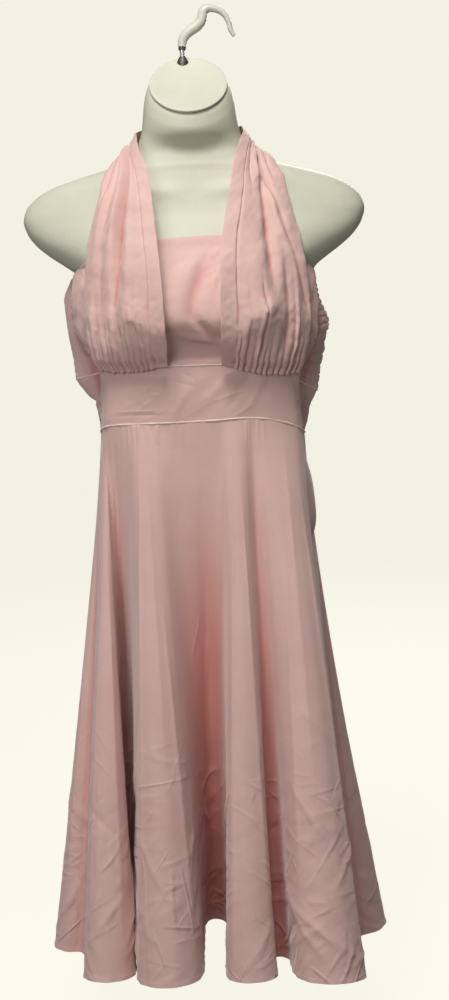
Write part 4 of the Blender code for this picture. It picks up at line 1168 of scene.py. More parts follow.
    def bodice_back(self) -> np.ndarray:
        """Make the elastic back: rows of shirring with small puffs between them."""
        ridges = self.shirring_ridges
        grid = self.panel(Side.BACK, np.linspace(1.0, 2.0, ridges * 8 + 1), 200, above=0.0004)
        u, v = flat_lengths(grid)
        rows = np.linspace(0.0, 1.0, grid.shape[0])[:, None]
        width = u[:, -1:]
        inner = smoothstep(0.006, 0.026, u) * smoothstep(0.045, 0.085, width - u)
        puff = np.abs(np.sin(math.pi * ridges * rows)) ** 0.7
        jitter = ripples(u, v, 0.010, 41, 12)
        uneven = puff * (0.85 + 0.35 * jitter) + 0.25 * ripples(u, v, 0.004, 42, 10)
        height = self.shirring_height * inner * uneven
        fold = Crease((0.030, 0.010), (0.060, 0.085), -0.0030, 0.0080).height_at(u, v)
        for crease in (
            Crease((float(width[20, 0]) - 0.040, 0.026), (float(width[20, 0]) - 0.004, 0.006), -0.0046, 0.0045),
            Crease((float(width[20, 0]) - 0.034, 0.040), (float(width[20, 0]) - 0.008, 0.022), 0.0026, 0.0045),
            Crease((float(width[60, 0]) - 0.017, 0.045), (float(width[60, 0]) - 0.021, 0.100), -0.0022, 0.0024),
            Crease((float(width[60, 0]) - 0.024, 0.052), (float(width[60, 0]) - 0.027, 0.096), 0.0018, 0.0024),
            Crease((float(width[60, 0]) - 0.010, 0.060), (float(width[60, 0]) - 0.012, 0.112), 0.0018, 0.0022),
            Crease((0.010, 0.012), (0.030, 0.030), -0.0040, 0.0050),
            Crease((0.006, 0.050), (0.018, 0.085), -0.0028, 0.0040),
        ):
            fold = fold + crease.height_at(u, v)
        fold = fold + Crease((0.330, 0.020), (0.300, 0.090), -0.0030, 0.0080).height_at(u, v)
        grid = self.ground.lift(grid + facing(grid) * (height + fold)[..., None], 0.0011)
        flat = np.stack([u, v], axis=-1)
        # Its shirring and folds are painted darker as shade.
        piece = ride(sheet_from("bodice_back_cloth", grid, flat, self.finishes.cloth,
                                hollow=0.8 * hollows(grid, (4, 8), 0.003)), "dress_cloth", "bodice_back")
        return grid

    def band(self, side: Side) -> np.ndarray:
        """Make one half of the waistband with its two turned seam edges."""
        grid = self.panel(side, np.linspace(0.0, 1.0, 64), 200 if side is Side.FRONT else 230)
        width = float(flat_lengths(grid)[0][30, -1])
        if side is Side.FRONT:
            creases = [
                Crease((0.045, 0.016), (0.105, 0.014), 0.0007, 0.0011, Fall.CRISP),
                Crease((0.042, 0.011), (0.118, 0.0095), -0.0006, 0.0012, Fall.CRISP),
                Crease((0.060, 0.058), (0.085, 0.053), 0.0005, 0.0015, Fall.CRISP),
                Crease((0.150, 0.018), (0.165, 0.052), 0.0010, 0.0080),
                Crease((0.182, 0.010), (0.190, 0.060), -0.0012, 0.0070),
                Crease((0.205, 0.004), (0.207, 0.062), 0.0010, 0.0060),
                Crease((0.120, 0.000), (0.124, 0.040), 0.0008, 0.0060),
            ]
        else:
            creases = [
                Crease((0.018, 0.020), (0.052, 0.058), -0.0038, 0.0060),
                Crease((0.024, 0.008), (0.046, 0.034), 0.0022, 0.0040, Fall.CRISP),
                Crease((width - 0.020, 0.018), (width - 0.056, 0.054), -0.0038, 0.0060),
                Crease((width - 0.024, 0.006), (width - 0.044, 0.030), 0.0020, 0.0040, Fall.CRISP),
                Crease((width - 0.090, 0.010), (width - 0.070, 0.050), 0.0012, 0.0060),
                Crease((0.140, 0.008), (0.155, 0.052), 0.0010, 0.0070),
            ]
        creases += Scatter(16, (0.0, 0.004), (width, 0.060), (0.012, 0.045), (0.0002, 0.0005), (0.0012, 0.0030),
                           (40.0, 90.0), 31 + side.value).creases()
        grid, flat = self.creased(grid, creases, 0.00035, 51 + side.value)
        name = f"waistband_{side.name.lower()}"
        # Its creases are painted darker as shade.
        piece = ride(sheet_from(f"{name}_cloth", grid, flat, self.finishes.cloth,
                                hollow=hollows(grid, (6, 8), 0.004)), "dress_cloth", name)
        edges = [self.seam_edge(f"{name}_lower_edge", grid[0], grid[1]),
                 self.seam_edge(f"{name}_upper_edge", grid[-1], grid[-2])]
        return grid

    def seam_edge(self, name: str, line: np.ndarray, inner: np.ndarray) -> bpy.types.Object:
        """Make the narrow turned edge that stands out along a seam, a little uneven, in lighter cloth as a
        painted highlight.
        """
        out = np.cross(np.gradient(line, axis=0), line - inner)
        out = out / np.linalg.norm(out, axis=-1, keepdims=True)
        away = np.stack([line[:, 0], line[:, 1] - CENTRE_Y, 0.0 * line[:, 2]], axis=-1)
        out = out * np.sign((out * away).sum(axis=-1, keepdims=True))
        run = lengths_along(line)
        uneven = ripples(run, 0.0 * run, 0.012, 61)
        radii = 0.00100 + 0.00024 * uneven
        line = line + out * (0.0001 + 0.0002 * uneven)[:, None]
        edge = tube_along(name, line, radii, self.finishes.edge, sides=1)
        return ride(edge, "dress_cloth")

    def stitches(self, name: str, grid: np.ndarray, row: int) -> bpy.types.Object:
        """Sew a row of stitches along a row of a panel."""
        normals = facing(grid)[row]
        return ride(StitchRow().build(name, grid[row], normals, self.finishes.thread), "dress_cloth")

    def build(self) -> list[np.ndarray]:
        """Build the trunk's four panels and return their grids."""
        return [self.band(Side.FRONT), self.band(Side.BACK), self.bodice_front(), self.bodice_back()]


def flat_lengths(grid: np.ndarray) -> tuple[np.ndarray, np.ndarray]:
    """Measure a sheet across and up, as if it were laid flat.

    Args:
        grid: The sheet's points by row and column.

    Returns:
        The distance across along each row and up along each column, in metres.
    """
    across = np.linalg.norm(np.diff(grid, axis=1), axis=-1)
    up = np.linalg.norm(np.diff(grid, axis=0), axis=-1)
    u = np.concatenate([np.zeros((grid.shape[0], 1)), np.cumsum(across, axis=1)], axis=1)
    v = np.concatenate([np.zeros((1, grid.shape[1])), np.cumsum(up, axis=0)], axis=0)
    return u, v


# Each row of a halter panel joins its inner edge to its outer edge, from the waistband up to the nape.
HALTER = {
    -1: Profile("row inner_x inner_y inner_z outer_x outer_y outer_z puff", [
        (0.0, -0.0378, -0.0850, 0.0660, -0.1165, -0.0450, 0.0672, 0.0000),
        (0.5, -0.0370, -0.0900, 0.0725, -0.1205, -0.0480, 0.0745, 0.0020),
        (1.0, -0.0362, -0.1000, 0.0800, -0.1240, -0.0530, 0.0835, 0.0050),
        (2.0, -0.0347, -0.1120, 0.0950, -0.1260, -0.0540, 0.0988, 0.0065),
        (3.0, -0.0342, -0.1170, 0.1130, -0.1264, -0.0530, 0.1170, 0.0060),
        (4.0, -0.0350, -0.1170, 0.1390, -0.1248, -0.0500, 0.1446, 0.0060),
        (5.0, -0.0374, -0.1120, 0.1720, -0.1211, -0.0480, 0.1786, 0.0080),
        (6.0, -0.0410, -0.1000, 0.2057, -0.1153, -0.0420, 0.2130, 0.0090),
        (7.0, -0.0442, -0.0860, 0.2400, -0.1066, -0.0330, 0.2475, 0.0090),
        (8.0, -0.0470, -0.0760, 0.2640, -0.0985, -0.0220, 0.2700, 0.0080),
        (9.0, -0.0520, -0.0620, 0.2900, -0.0925, -0.0080, 0.2900, 0.0060),
        (10.0, -0.0590, -0.0360, 0.3170, -0.0885, 0.0080, 0.3015, 0.0040),
        (11.0, -0.0605, -0.0050, 0.3330, -0.0810, 0.0260, 0.3060, 0.0020),
        (12.0, -0.0525, 0.0270, 0.3410, -0.0660, 0.0430, 0.3078, 0.0015),
        (13.0, -0.0310, 0.0480, 0.3450, -0.0370, 0.0570, 0.3088, 0.0015),
        (13.6, -0.0130, 0.0555, 0.3460, -0.0150, 0.0612, 0.3080, 0.0015),
        (14.0, -0.00015, 0.0560, 0.3460, -0.00015, 0.0615, 0.3080, 0.0015)]),
    1: Profile("row inner_x inner_y inner_z outer_x outer_y outer_z puff", [
        (0.0, 0.0222, -0.0850, 0.0650, 0.1130, -0.0450, 0.0545, 0.0000),
        (0.5, 0.0219, -0.0900, 0.0705, 0.1160, -0.0480, 0.0625, 0.0020),
        (1.0, 0.0216, -0.1000, 0.0780, 0.1190, -0.0530, 0.0720, 0.0050),
        (2.0, 0.0210, -0.1120, 0.0930, 0.1227, -0.0540, 0.0885, 0.0065),
        (3.0, 0.0203, -0.1170, 0.1100, 0.1239, -0.0530, 0.1060, 0.0060),
        (4.0, 0.0208, -0.1170, 0.1365, 0.1221, -0.0500, 0.1336, 0.0060),
        (5.0, 0.0233, -0.1120, 0.1694, 0.1188, -0.0480, 0.1680, 0.0080),
        (6.0, 0.0272, -0.1000, 0.2027, 0.1122, -0.0420, 0.2030, 0.0090),
        (7.0, 0.0349, -0.0860, 0.2364, 0.1043, -0.0330, 0.2383, 0.0090),
        (8.0, 0.0400, -0.0760, 0.2610, 0.0975, -0.0220, 0.2640, 0.0080),
        (9.0, 0.0450, -0.0620, 0.2870, 0.0915, -0.0080, 0.2890, 0.0060),
        (10.0, 0.0530, -0.0370, 0.3150, 0.0880, 0.0080, 0.3015, 0.0040),
        (11.0, 0.0590, -0.0050, 0.3330, 0.0810, 0.0260, 0.3060, 0.0020),
        (12.0, 0.0525, 0.0270, 0.3410, 0.0660, 0.0430, 0.3078, 0.0015),
        (13.0, 0.0310, 0.0480, 0.3450, 0.0370, 0.0570, 0.3088, 0.0015),
        (13.6, 0.0130, 0.0555, 0.3460, 0.0150, 0.0612, 0.3080, 0.0015),
        (14.0, 0.00015, 0.0560, 0.3460, 0.00015, 0.0615, 0.3080, 0.0015)]),
}


@dataclass(frozen=True)
class PanelFold:
    """A long fold of a halter panel, by row up the panel and by share across from the inner edge."""

    start: tuple[float, float]
    end: tuple[float, float]
    height: float
    half_width: float
    fall: Fall = Fall.SOFT

    def height_at(self, row: np.ndarray, across: np.ndarray) -> np.ndarray:
        """Return the fold's lift over a panel."""
        along = (row - self.start[0]) / (self.end[0] - self.start[0])
        middle = self.start[1] + (self.end[1] - self.start[1]) * np.clip(along, 0.0, 1.0)
        fade = smoothstep(-0.05, 0.25, along) * (1.0 - smoothstep(0.8, 1.05, along))
        return self.height * fade * np.exp(-((np.abs(across - middle) / self.half_width) ** self.fall.value))


@dataclass
class HalterPanel:
    """One gathered bust panel that narrows into the strap round the neck."""

    finishes: Finishes
    side: int
    under: Ground
    folds: Sequence[PanelFold]
    gathers: int
    seed: int
    rows: int = 220
    columns: int = 132
    edge_band: float = 0.15

    def band_share(self, row: np.ndarray) -> np.ndarray:
        """Return how much of the panel's width the inner band takes at each row."""
        return self.edge_band + 0.11 * smoothstep(5.0, 11.0, row)

    def draped(self, grid: np.ndarray, out: np.ndarray, gap: float) -> tuple[np.ndarray, np.ndarray]:
        """Hang the panel like a skin over what lies under it.

        Args:
            grid: The panel, straight between its edges.
            out: The way that each row faces.
            gap: The distance to keep.

        Returns:
            The hung panel, and how far each point may sink.
        """
        rise = np.zeros(grid.shape[:2])
        for _ in range(5):
            hung = grid + out[:, None, :] * rise[..., None]
            short = ((self.under.lift(hung, gap) - hung) * out[:, None, :]).sum(axis=-1)
            rise = rise + 1.25 * np.maximum(0.0, short)
            for reach in (*([4] * 24), *([2] * 16), *([1] * 16)):
                wide = np.pad(rise, reach, mode="edge")
                rows, columns = slice(reach, reach + rise.shape[0]), slice(reach, reach + rise.shape[1])
                near = 0.25 * (wide[: rise.shape[0], columns] + wide[2 * reach:, columns]
                               + wide[rows, : rise.shape[1]] + wide[rows, 2 * reach:])
                rise = np.maximum(rise, near)
        hung = grid + out[:, None, :] * rise[..., None]
        return hung, np.maximum(0.0, self.under.clearance(hung) - 0.0009)

    def facing_at(self, row: np.ndarray) -> np.ndarray:
        """Return the way the panel faces at each row, away from the form."""
        table = HALTER[self.side]

        def ends(key: np.ndarray) -> tuple[np.ndarray, np.ndarray]:
            inner = np.stack([table.at(key, f"inner_{axis}") for axis in "xyz"], axis=-1)
            outer = np.stack([table.at(key, f"outer_{axis}") for axis in "xyz"], axis=-1)
            return inner, outer

        inner, outer = ends(row)
        above, below = ends(row + 0.6), ends(row - 0.6)
        along = 0.5 * (above[0] + above[1] - below[0] - below[1])
        out = np.cross(outer - inner, along)
        out /= np.linalg.norm(out, axis=-1, keepdims=True)
        middle = 0.5 * (inner + outer) - (0.0, CENTRE_Y, 0.0)
        return out * np.sign((out[:, :2] * middle[:, :2]).sum(axis=-1, keepdims=True))

    def gather_height(self, row: np.ndarray, across: np.ndarray) -> np.ndarray:
        """Return the gathers' lift: uneven puffs at the waistband that run out up the panel."""
        rng = np.random.default_rng(self.seed)
        edges = np.cumsum(rng.uniform(0.45, 1.6, self.gathers))
        edges = self.edge_band + (1.0 - self.edge_band) * np.concatenate([[0.0], edges / edges[-1]])
        total = np.zeros_like(row * across)
        spread = across + 0.004 * np.sin(row * 5.0 + self.seed)
        for left, right in zip(edges[:-1], edges[1:]):
            reach, height = rng.uniform(2.0, 5.6), rng.uniform(0.0032, 0.0054)
            inside = np.clip((spread - left) / (right - left), 0.0, 1.0)
            puff = np.sin(math.pi * inside) ** 0.6
            total = np.maximum(total, height * puff * (1.0 - smoothstep(0.2, reach, row)))
        return total

    def build(self) -> bpy.types.Object:
        """Build the panel and its stitched inner band."""
        table, side = HALTER[self.side], self.side
        row = np.concatenate([np.linspace(0.0, 4.0, int(self.rows * 0.42), endpoint=False),
                              np.linspace(4.0, 14.0, self.rows - int(self.rows * 0.42))])
        share = np.linspace(0.0, 1.0, self.columns)
        across = share if side > 0 else share[::-1]
        inner = np.stack([table.at(row, f"inner_{axis}") for axis in "xyz"], axis=-1)[:, None, :]
        outer = np.stack([table.at(row, f"outer_{axis}") for axis in "xyz"], axis=-1)[:, None, :]
        grid = inner + (outer - inner) * across[None, :, None]
        out = self.facing_at(row)
        grid, room = self.draped(grid, out, 0.0012)
        r, a = np.meshgrid(row, across, indexing="ij")
        height = table.at(r, "puff") * (4.0 * a * (1.0 - a)) ** 0.8
        height = height + self.gather_height(r, a)
        band = self.band_share(row)[:, None]
        height = height + 0.0008 * (1.0 - smoothstep(-0.012, 0.012, a - band))
        height = height - 0.0012 * np.exp(-(((a - band - 0.014) / 0.012) ** 2))
        height = height + sum(fold.height_at(r, a) for fold in self.folds)
        height = height + 0.0022 * smoothstep(8.5, 11.0, r)
        u, v = flat_lengths(grid)
        height = height + 0.0005 * ripples(u, v, 0.035, self.seed + 5)
        height = height + 0.0002 * ripples(u, v, 0.012, self.seed + 6)
        lowest = -0.8 * room
        height = lowest + 0.5 * (height - lowest + np.sqrt((height - lowest) ** 2 + 0.0009**2))
        grid = grid + out[:, None, :] * height[..., None]
        grid = self.under.lift(grid, 0.0009)
        u, v = flat_lengths(grid)
        name = "halter_left" if side < 0 else "halter_right"
        # Its gathers and folds are painted darker as shade.
        piece = sheet_from(f"{name}_cloth", grid, np.stack([u, v], axis=-1), self.finishes.cloth,
                           hollow=0.8 * hollows(grid, (6, 5), 0.0022))
        ride(piece, "dress_cloth", name)
        column = (self.band_share(row) - 0.014) * (self.columns - 1)
        column = np.rint(column if side > 0 else self.columns - 1 - column).astype(int)
        line, out = grid[np.arange(len(row)), column], facing(grid)[np.arange(len(row)), column]
        stitches = StitchRow(0.0034, 0.0022, 0.00022).build(f"{name}_stitches", line, out, self.finishes.thread)
        ride(stitches, "dress_cloth")
        return piece


FLUTES = Profile(
    "flute crest_x crest_y face half_width round waist root_x root_y root_face root_half root_waist",
    [
        (0, -0.1400, -0.1520, -98, 0.0285, 0.030, -162, -0.1240, 0.0440, -92, 0.0085, -151),
        (1, -0.0670, -0.1620, -92, 0.0385, 0.046, -134, -0.0160, -0.0150, -88, 0.0120, -94),
        (2, 0.0260, -0.1780, -88, 0.0285, 0.028, -66, 0.0600, -0.1250, -95, 0.0080, -54),
        (3, 0.1150, -0.1730, -78, 0.0400, 0.046, -34, 0.1400, -0.0620, -50, 0.0120, -6.8),
        (4, 0.1660, -0.0020, 2, 0.0240, 0.030, 16, 0.1300, 0.0480, 35, 0.0120, 36),
        (5, 0.1300, 0.1120, 52, 0.0300, 0.038, 54, 0.0800, 0.0700, 72, 0.0120, 69),
        (6, 0.0330, 0.1400, 86, 0.0310, 0.040, 84, -0.0220, 0.0760, 92, 0.0120, 98),
        (7, -0.0760, 0.1460, 100, 0.0310, 0.036, 113, -0.1200, 0.1000, 118, 0.0100, 128),
        (8, -0.1660, 0.0900, 148, 0.0280, 0.032, 144, -0.1660, 0.0280, 172, 0.0100, 158),
        (9, -0.1880, -0.0420, 196, 0.0230, 0.028, 172, -0.1520, -0.1060, 212, 0.0090, 186.7),
    ],
)


@dataclass
class Skirt:
    """The flared skirt: two halves of a cone that hang in flutes from the waist seam."""

    finishes: Finishes
    trunk: Trunk
    ground: Ground
    rows: int = 190
    crest_ease: float = 1.06
    valley_ease: float = 1.85
    hem_radius: tuple[float, float] = (0.185, 0.175)
    turn_radius: float = 0.155
    hem_height: float = 0.006

    def hem_outline(self) -> tuple[np.ndarray, list[int], list[int]]:
        """Return the hem seen from above, with the places of its crests and roots."""
        controls: list[np.ndarray] = []
        crests: list[int] = []
        roots: list[int] = []
        for values in FLUTES.values:
            flute = dict(zip(FLUTES.columns, values))
            for kind, degrees in (("crest", (-95, -58, -24, 0, 24, 58, 95)), ("root", (-70, 0, 70))):
                face = math.radians(flute["face"] if kind == "crest" else flute["root_face"])
                out = np.array((math.cos(face), math.sin(face)))
                side = np.array((-math.sin(face), math.cos(face)))
                centre = np.array((flute[f"{kind}_x"], flute[f"{kind}_y"]))
                for angle in np.radians(degrees):
                    if angle == 0.0:
                        (crests if kind == "crest" else roots).append(len(controls))
                    if kind == "crest":
                        offset = flute["half_width"] * math.sin(angle) * side
                        offset = offset + flute["round"] * math.cos(angle) * out
                    else:
                        offset = flute["root_half"] * (math.sin(angle) * side + (1 - math.cos(angle)) * out)
                    controls.append(centre + offset)
        outline = curve_through(controls, closed=True, per_span=24)
        return outline, [24 * crest for crest in crests], [24 * root for root in roots]

    def waist_ring(self) -> tuple[np.ndarray, np.ndarray]:
        """Return the lower waist seam by rising angle seen from above, over more than a full turn."""
        front, back = self.trunk.ring(0.0)
        ring = np.vstack([front[:-1], back[:-1]])
        ring = self.ground.lift(ring[None], self.trunk.cloth_gap)[0]
        angles = np.degrees(np.arctan2(ring[:, 1], ring[:, 0]))
        order = np.argsort(angles)
        angles, ring = angles[order], ring[order]
        return np.concatenate([angles - 360.0, angles, angles + 360.0]), np.vstack([ring, ring, ring])

    def half(self, start: float, end: float, columns: int, total: float, hem: np.ndarray,
             keys: Profile) -> tuple[np.ndarray, np.ndarray, np.ndarray]:
        """Work out one half of the skirt as a smooth grid.

        Args:
            start: Where it starts along the hem, in metres.
            end: Where it ends.
            columns: The number of its columns.
            total: The hem's whole length.
            hem: The hem's outline.
            keys: The waist angle by length along the hem.

        Returns:
            The grid from the hem up, the lengths along the hem, and the share of the way down of each row.
        """
        lengths = lengths_along(hem)
        along = np.linspace(start + SEAM_GAP / 2, end - SEAM_GAP / 2, columns)
        angles, ring = self.waist_ring()
        wanted = keys.at(along, "angle")
        waist = np.stack([np.interp(wanted, angles, ring[:, axis]) for axis in range(3)], axis=-1)
        foot = np.stack([np.interp(along % total, lengths, hem[:, axis]) for axis in range(2)], axis=-1)
        reach = np.hypot(foot[:, 0] / self.hem_radius[0], foot[:, 1] / self.hem_radius[1])
        ease = self.valley_ease + (self.crest_ease - self.valley_ease) * smoothstep(0.25, 1.05, reach)
        spread = foot - waist[:, :2]
        drop = np.sqrt(SKIRT_LENGTH**2 - (spread**2).sum(axis=-1))
        share = np.linspace(0.0, 1.0, self.rows)
        down = (1.0 - share * (0.68 + 0.32 * share))[:, None]
        plan = waist[None, :, :2] + spread[None] * (down ** ease[None, :])[..., None]
        z = waist[None, :, 2] - SEAM_GAP - drop[None] * down
        grid = np.concatenate([plan, z[..., None]], axis=-1)
        return self.ground.lift(grid, 0.0024), along - start, down

    def crumpled(self, grid: np.ndarray, along: np.ndarray, down: np.ndarray, creases: Sequence[Crease],
                 seed: int) -> np.ndarray:
        """Add soft folds, puckers and creases to half of the skirt.

        Args:
            grid: The smooth half.
            along: The length along the hem of each column.
            down: The share of the way down of each row.
            creases: Creases by length along the hem and by height above it, in metres.
            seed: The seed of the unevenness.

        Returns:
            The crumpled grid.
        """
        u, v = np.broadcast_arrays(along[None, :], (1.0 - down) * SKIRT_LENGTH)
        length = float(along[-1])
        low = smoothstep(0.25, 0.95, down)
        arc = u * (self.turn_radius + down * SKIRT_LENGTH) / (self.turn_radius + SKIRT_LENGTH)
        height = 0.0020 * low * ripples(u, 0.12 * v, 0.110, seed)
        height = height + 0.0002 * low * ripples(arc, v, 0.050, seed + 1)
        height = height + 0.00010 * low * ripples(arc, v, 0.020, seed + 2)
        across = grid[-1:, :, 0]
        gathered = np.exp(-(((across + 0.054) / 0.038) ** 4)) + np.exp(-(((across - 0.057) / 0.016) ** 4))
        pucker = (1.0 - smoothstep(0.004, 0.060, down)) * smoothstep(0.0, 0.012, down)
        pucker = pucker * np.minimum(1.0, gathered)
        height = height + 0.0013 * pucker * np.maximum(-0.2, ripples(u, 0.0 * v, 0.030, seed + 3))
        for crease in creases:
            height = height + crease.height_at(u, v)
        ends = smoothstep(0.0, 0.012, np.minimum(u, length - u))
        height = height * ends
        hem = 1.0 - smoothstep(0.0, 0.0085, v)
        height = height + 0.0006 * hem * (1.0 + 0.8 * ripples(u, 0.0 * v, 0.014, seed + 4))
        return self.ground.lift(grid + facing(grid) * height[..., None], 0.0016)

    def shoulder_folds(self, crests: np.ndarray, start: float, end: float) -> list[Crease]:
        """Return the long crisp folds that run up the flutes' shoulders, uneven from one to the next."""
        total = float(lengths_along(self.hem_outline()[0])[-1])
        folds = []
        for flute, offset, low, high, height, width in SHOULDER_FOLDS:
            for turn in (-total, 0.0, total):
                place = float(crests[flute]) + turn + offset - start
                if 0.02 < place < end - start - 0.02:
                    folds.append(Crease((place, low), (place - 0.25 * offset, high), height, width, Fall.CRISP))
        return folds

    def flat_cut(self, along: np.ndarray, down: np.ndarray) -> np.ndarray:
        """Lay the half out as the ring sector that it is cut as."""
        radius = self.turn_radius + down * SKIRT_LENGTH
        angle = along[None, :] / (self.turn_radius + SKIRT_LENGTH)
        return np.stack([radius * np.sin(angle), radius * np.cos(angle)], axis=-1)

    def build(self) -> None:
        """Build both halves with their hems and stitches."""
        hem, crests, roots = self.hem_outline()
        lengths = lengths_along(hem)
        total = float(lengths[-1])
        rows = []
        for i, (crest, root) in enumerate(zip(crests, roots)):
            rows.append((lengths[crest], FLUTES.column("waist")[i]))
            rows.append((lengths[root], FLUTES.column("root_waist")[i]))
        before = [(length - total, angle - 360.0) for length, angle in rows[-2:]]
        after = [(length + total, angle + 360.0) for length, angle in rows[:2]]
        rows = before + rows + after
        keys = Profile("length angle", rows)
        left, right = float(lengths[roots[-1]]) - total, float(lengths[roots[3]])
        halves = (
            ("skirt_front", left, right, 500, FRONT_CREASES, 71, (1.35, 0.80), 0.60),
            ("skirt_back", right, left + total, 420, BACK_CREASES, 81, (1.35, 0.80), 0.52),
        )
        for name, start, end, columns, creases, seed, flat, area in halves:
            grid, along, down = self.half(start, end, columns, total, hem, keys)
            folds = self.shoulder_folds(lengths[crests], start, end)
            grid = self.crumpled(grid, along, down, [*creases, *folds], seed)
            cut = self.flat_cut(along, down)
            # Painted shade: the skirt's deep valleys and its inside near the form are darkened to a deep rose.
            deep = np.maximum(0.75 * hollows(grid, (2, 24), 0.026), 0.35 * hollows(grid, (4, 4), 0.0016))
            inset = np.hypot(grid[..., 0] / (0.120 + 0.085 * down), grid[..., 1] / (0.090 + 0.105 * down))
            deep = np.maximum(deep, 0.9 * (1.0 - smoothstep(0.45, 0.84, inset))) * smoothstep(0.04, 0.30, down)
            worn = np.broadcast_to(0.10 + 0.90 * smoothstep(0.50, 0.78, down), deep.shape)
            piece = sheet_from(f"{name}_cloth", grid, cut, self.finishes.cloth, 0.0, False, deep, worn)
            ride(piece, "dress_cloth", name)
            row = int(round(self.hem_height / SKIRT_LENGTH * (self.rows - 1)))
            normals = facing(grid)
            stitches = StitchRow().build(f"{name}_hem_stitches", grid[row], normals[row], self.finishes.thread)
            ride(stitches, "dress_cloth")
            behind = grid[: row + 2] - facing(grid)[: row + 2] * 0.0009
            fold = sheet_from(f"{name}_hem_fold", behind, cut[: row + 2], self.finishes.cloth, thickness=0.0004)
            ride(fold, "dress_cloth")


SHOULDER_FOLDS = (
    (0, 0.026, 0.02, 0.50, 0.0022, 0.0060), (0, -0.022, 0.10, 0.40, 0.0016, 0.0050),
    (1, -0.040, 0.04, 0.56, 0.0026, 0.0060), (1, 0.042, 0.02, 0.42, 0.0022, 0.0060),
    (1, 0.012, 0.24, 0.60, 0.0014, 0.0080), (2, -0.027, 0.03, 0.58, 0.0028, 0.0055),
    (2, 0.024, 0.05, 0.54, 0.0022, 0.0055), (3, -0.046, 0.08, 0.46, 0.0020, 0.0060),
    (3, 0.044, 0.02, 0.55, 0.0026, 0.0060), (3, -0.012, 0.20, 0.60, 0.0014, 0.0080),
    (4, 0.018, 0.04, 0.44, 0.0020, 0.0050), (5, -0.026, 0.06, 0.52, 0.0024, 0.0060),
    (5, 0.030, 0.03, 0.36, 0.0018, 0.0060), (6, 0.024, 0.02, 0.48, 0.0022, 0.0060),
    (6, -0.028, 0.12, 0.56, 0.0016, 0.0050), (7, 0.027, 0.04, 0.50, 0.0024, 0.0060),
    (8, -0.022, 0.02, 0.42, 0.0020, 0.0050), (9, 0.018, 0.05, 0.46, 0.0020, 0.0050),
)
FRONT_CREASES = [
    Crease((0.215, 0.01), (0.160, 0.13), 0.0026, 0.0046, Fall.CRISP),
    Crease((0.130, 0.06), (0.190, 0.075), 0.0022, 0.0036, Fall.CRISP),
    Crease((0.560, 0.01), (0.480, 0.12), 0.0030, 0.0050, Fall.CRISP),
    Crease((0.430, 0.17), (0.540, 0.115), 0.0026, 0.0044, Fall.CRISP),
    Crease((0.500, 0.20), (0.520, 0.235), 0.0020, 0.0032, Fall.CRISP),
    Crease((0.455, 0.06), (0.475, 0.145), 0.0018, 0.0040, Fall.CRISP),
    Crease((0.900, 0.01), (0.930, 0.11), 0.0022, 0.0044, Fall.CRISP),
    Crease((0.965, 0.05), (0.915, 0.15), 0.0018, 0.0040, Fall.CRISP),
    Crease((1.190, 0.12), (1.275, 0.02), 0.0030, 0.0050, Fall.CRISP),
    Crease((1.215, 0.09), (1.330, 0.015), 0.0026, 0.0046, Fall.CRISP),
    Crease((1.290, 0.10), (1.350, 0.16), 0.0024, 0.0040, Fall.CRISP),
    Crease((1.235, 0.22), (1.290, 0.15), 0.0024, 0.0042, Fall.CRISP),
    Crease((1.340, 0.02), (1.270, 0.11), 0.0022, 0.0042, Fall.CRISP),
    Crease((1.400, 0.02), (1.430, 0.14), 0.0022, 0.0040, Fall.CRISP),
    Crease((1.180, 0.03), (1.240, 0.07), -0.0020, 0.0040, Fall.CRISP),
    Crease((0.120, 0.03), (0.170, 0.12), 0.0020, 0.0040, Fall.CRISP),
    Crease((1.260, 0.30), (1.330, 0.26), 0.0014, 0.0040, Fall.CRISP),
    *Scatter(46, (0.05, 0.01), (1.65, 0.20), (0.03, 0.10),
             (0.0008, 0.0020), (0.0022, 0.0042), (15.0, 75.0), 91).creases(),
    *Scatter(16, (0.05, 0.20), (1.65, 0.40), (0.04, 0.10),
             (0.0004, 0.0009), (0.0030, 0.0060), (10.0, 60.0), 92).creases(),
]
BACK_CREASES = [
    Crease((0.300, 0.01), (0.240, 0.15), 0.0026, 0.0048, Fall.CRISP),
    Crease((0.260, 0.06), (0.340, 0.11), 0.0022, 0.0040, Fall.CRISP),
    Crease((0.620, 0.02), (0.690, 0.15), 0.0028, 0.0048, Fall.CRISP),
    Crease((0.700, 0.03), (0.640, 0.09), 0.0022, 0.0040, Fall.CRISP),
    Crease((0.980, 0.02), (0.910, 0.16), 0.0026, 0.0044, Fall.CRISP),
    Crease((1.180, 0.02), (1.230, 0.12), 0.0024, 0.0044, Fall.CRISP),
    *Scatter(40, (0.05, 0.01), (1.35, 0.20), (0.03, 0.10),
             (0.0008, 0.0020), (0.0022, 0.0042), (15.0, 75.0), 93).creases(),
    *Scatter(14, (0.05, 0.20), (1.35, 0.40), (0.04, 0.10),
             (0.0004, 0.0009), (0.0030, 0.0060), (10.0, 60.0), 94).creases(),
]
LEFT_FOLDS = [
    PanelFold((3.6, 0.57), (12.4, 0.36), -0.0125, 0.050),
    PanelFold((5.0, 0.66), (12.0, 0.46), 0.0040, 0.055),
    PanelFold((2.0, 0.50), (4.6, 0.55), -0.0022, 0.040),
    PanelFold((3.0, 0.40), (10.0, 0.33), 0.0018, 0.050),
    PanelFold((6.0, 0.78), (12.8, 0.60), -0.0050, 0.030, Fall.CRISP),
    PanelFold((6.6, 0.92), (13.0, 0.80), -0.0044, 0.028, Fall.CRISP),
    PanelFold((8.6, 0.30), (13.4, 0.40), -0.0030, 0.035, Fall.CRISP),
    PanelFold((2.0, 0.88), (8.0, 0.86), 0.0020, 0.060),
    PanelFold((1.4, 0.74), (5.6, 0.76), -0.0024, 0.040),
    PanelFold((0.4, 0.28), (3.6, 0.25), -0.0018, 0.016, Fall.CRISP),
]
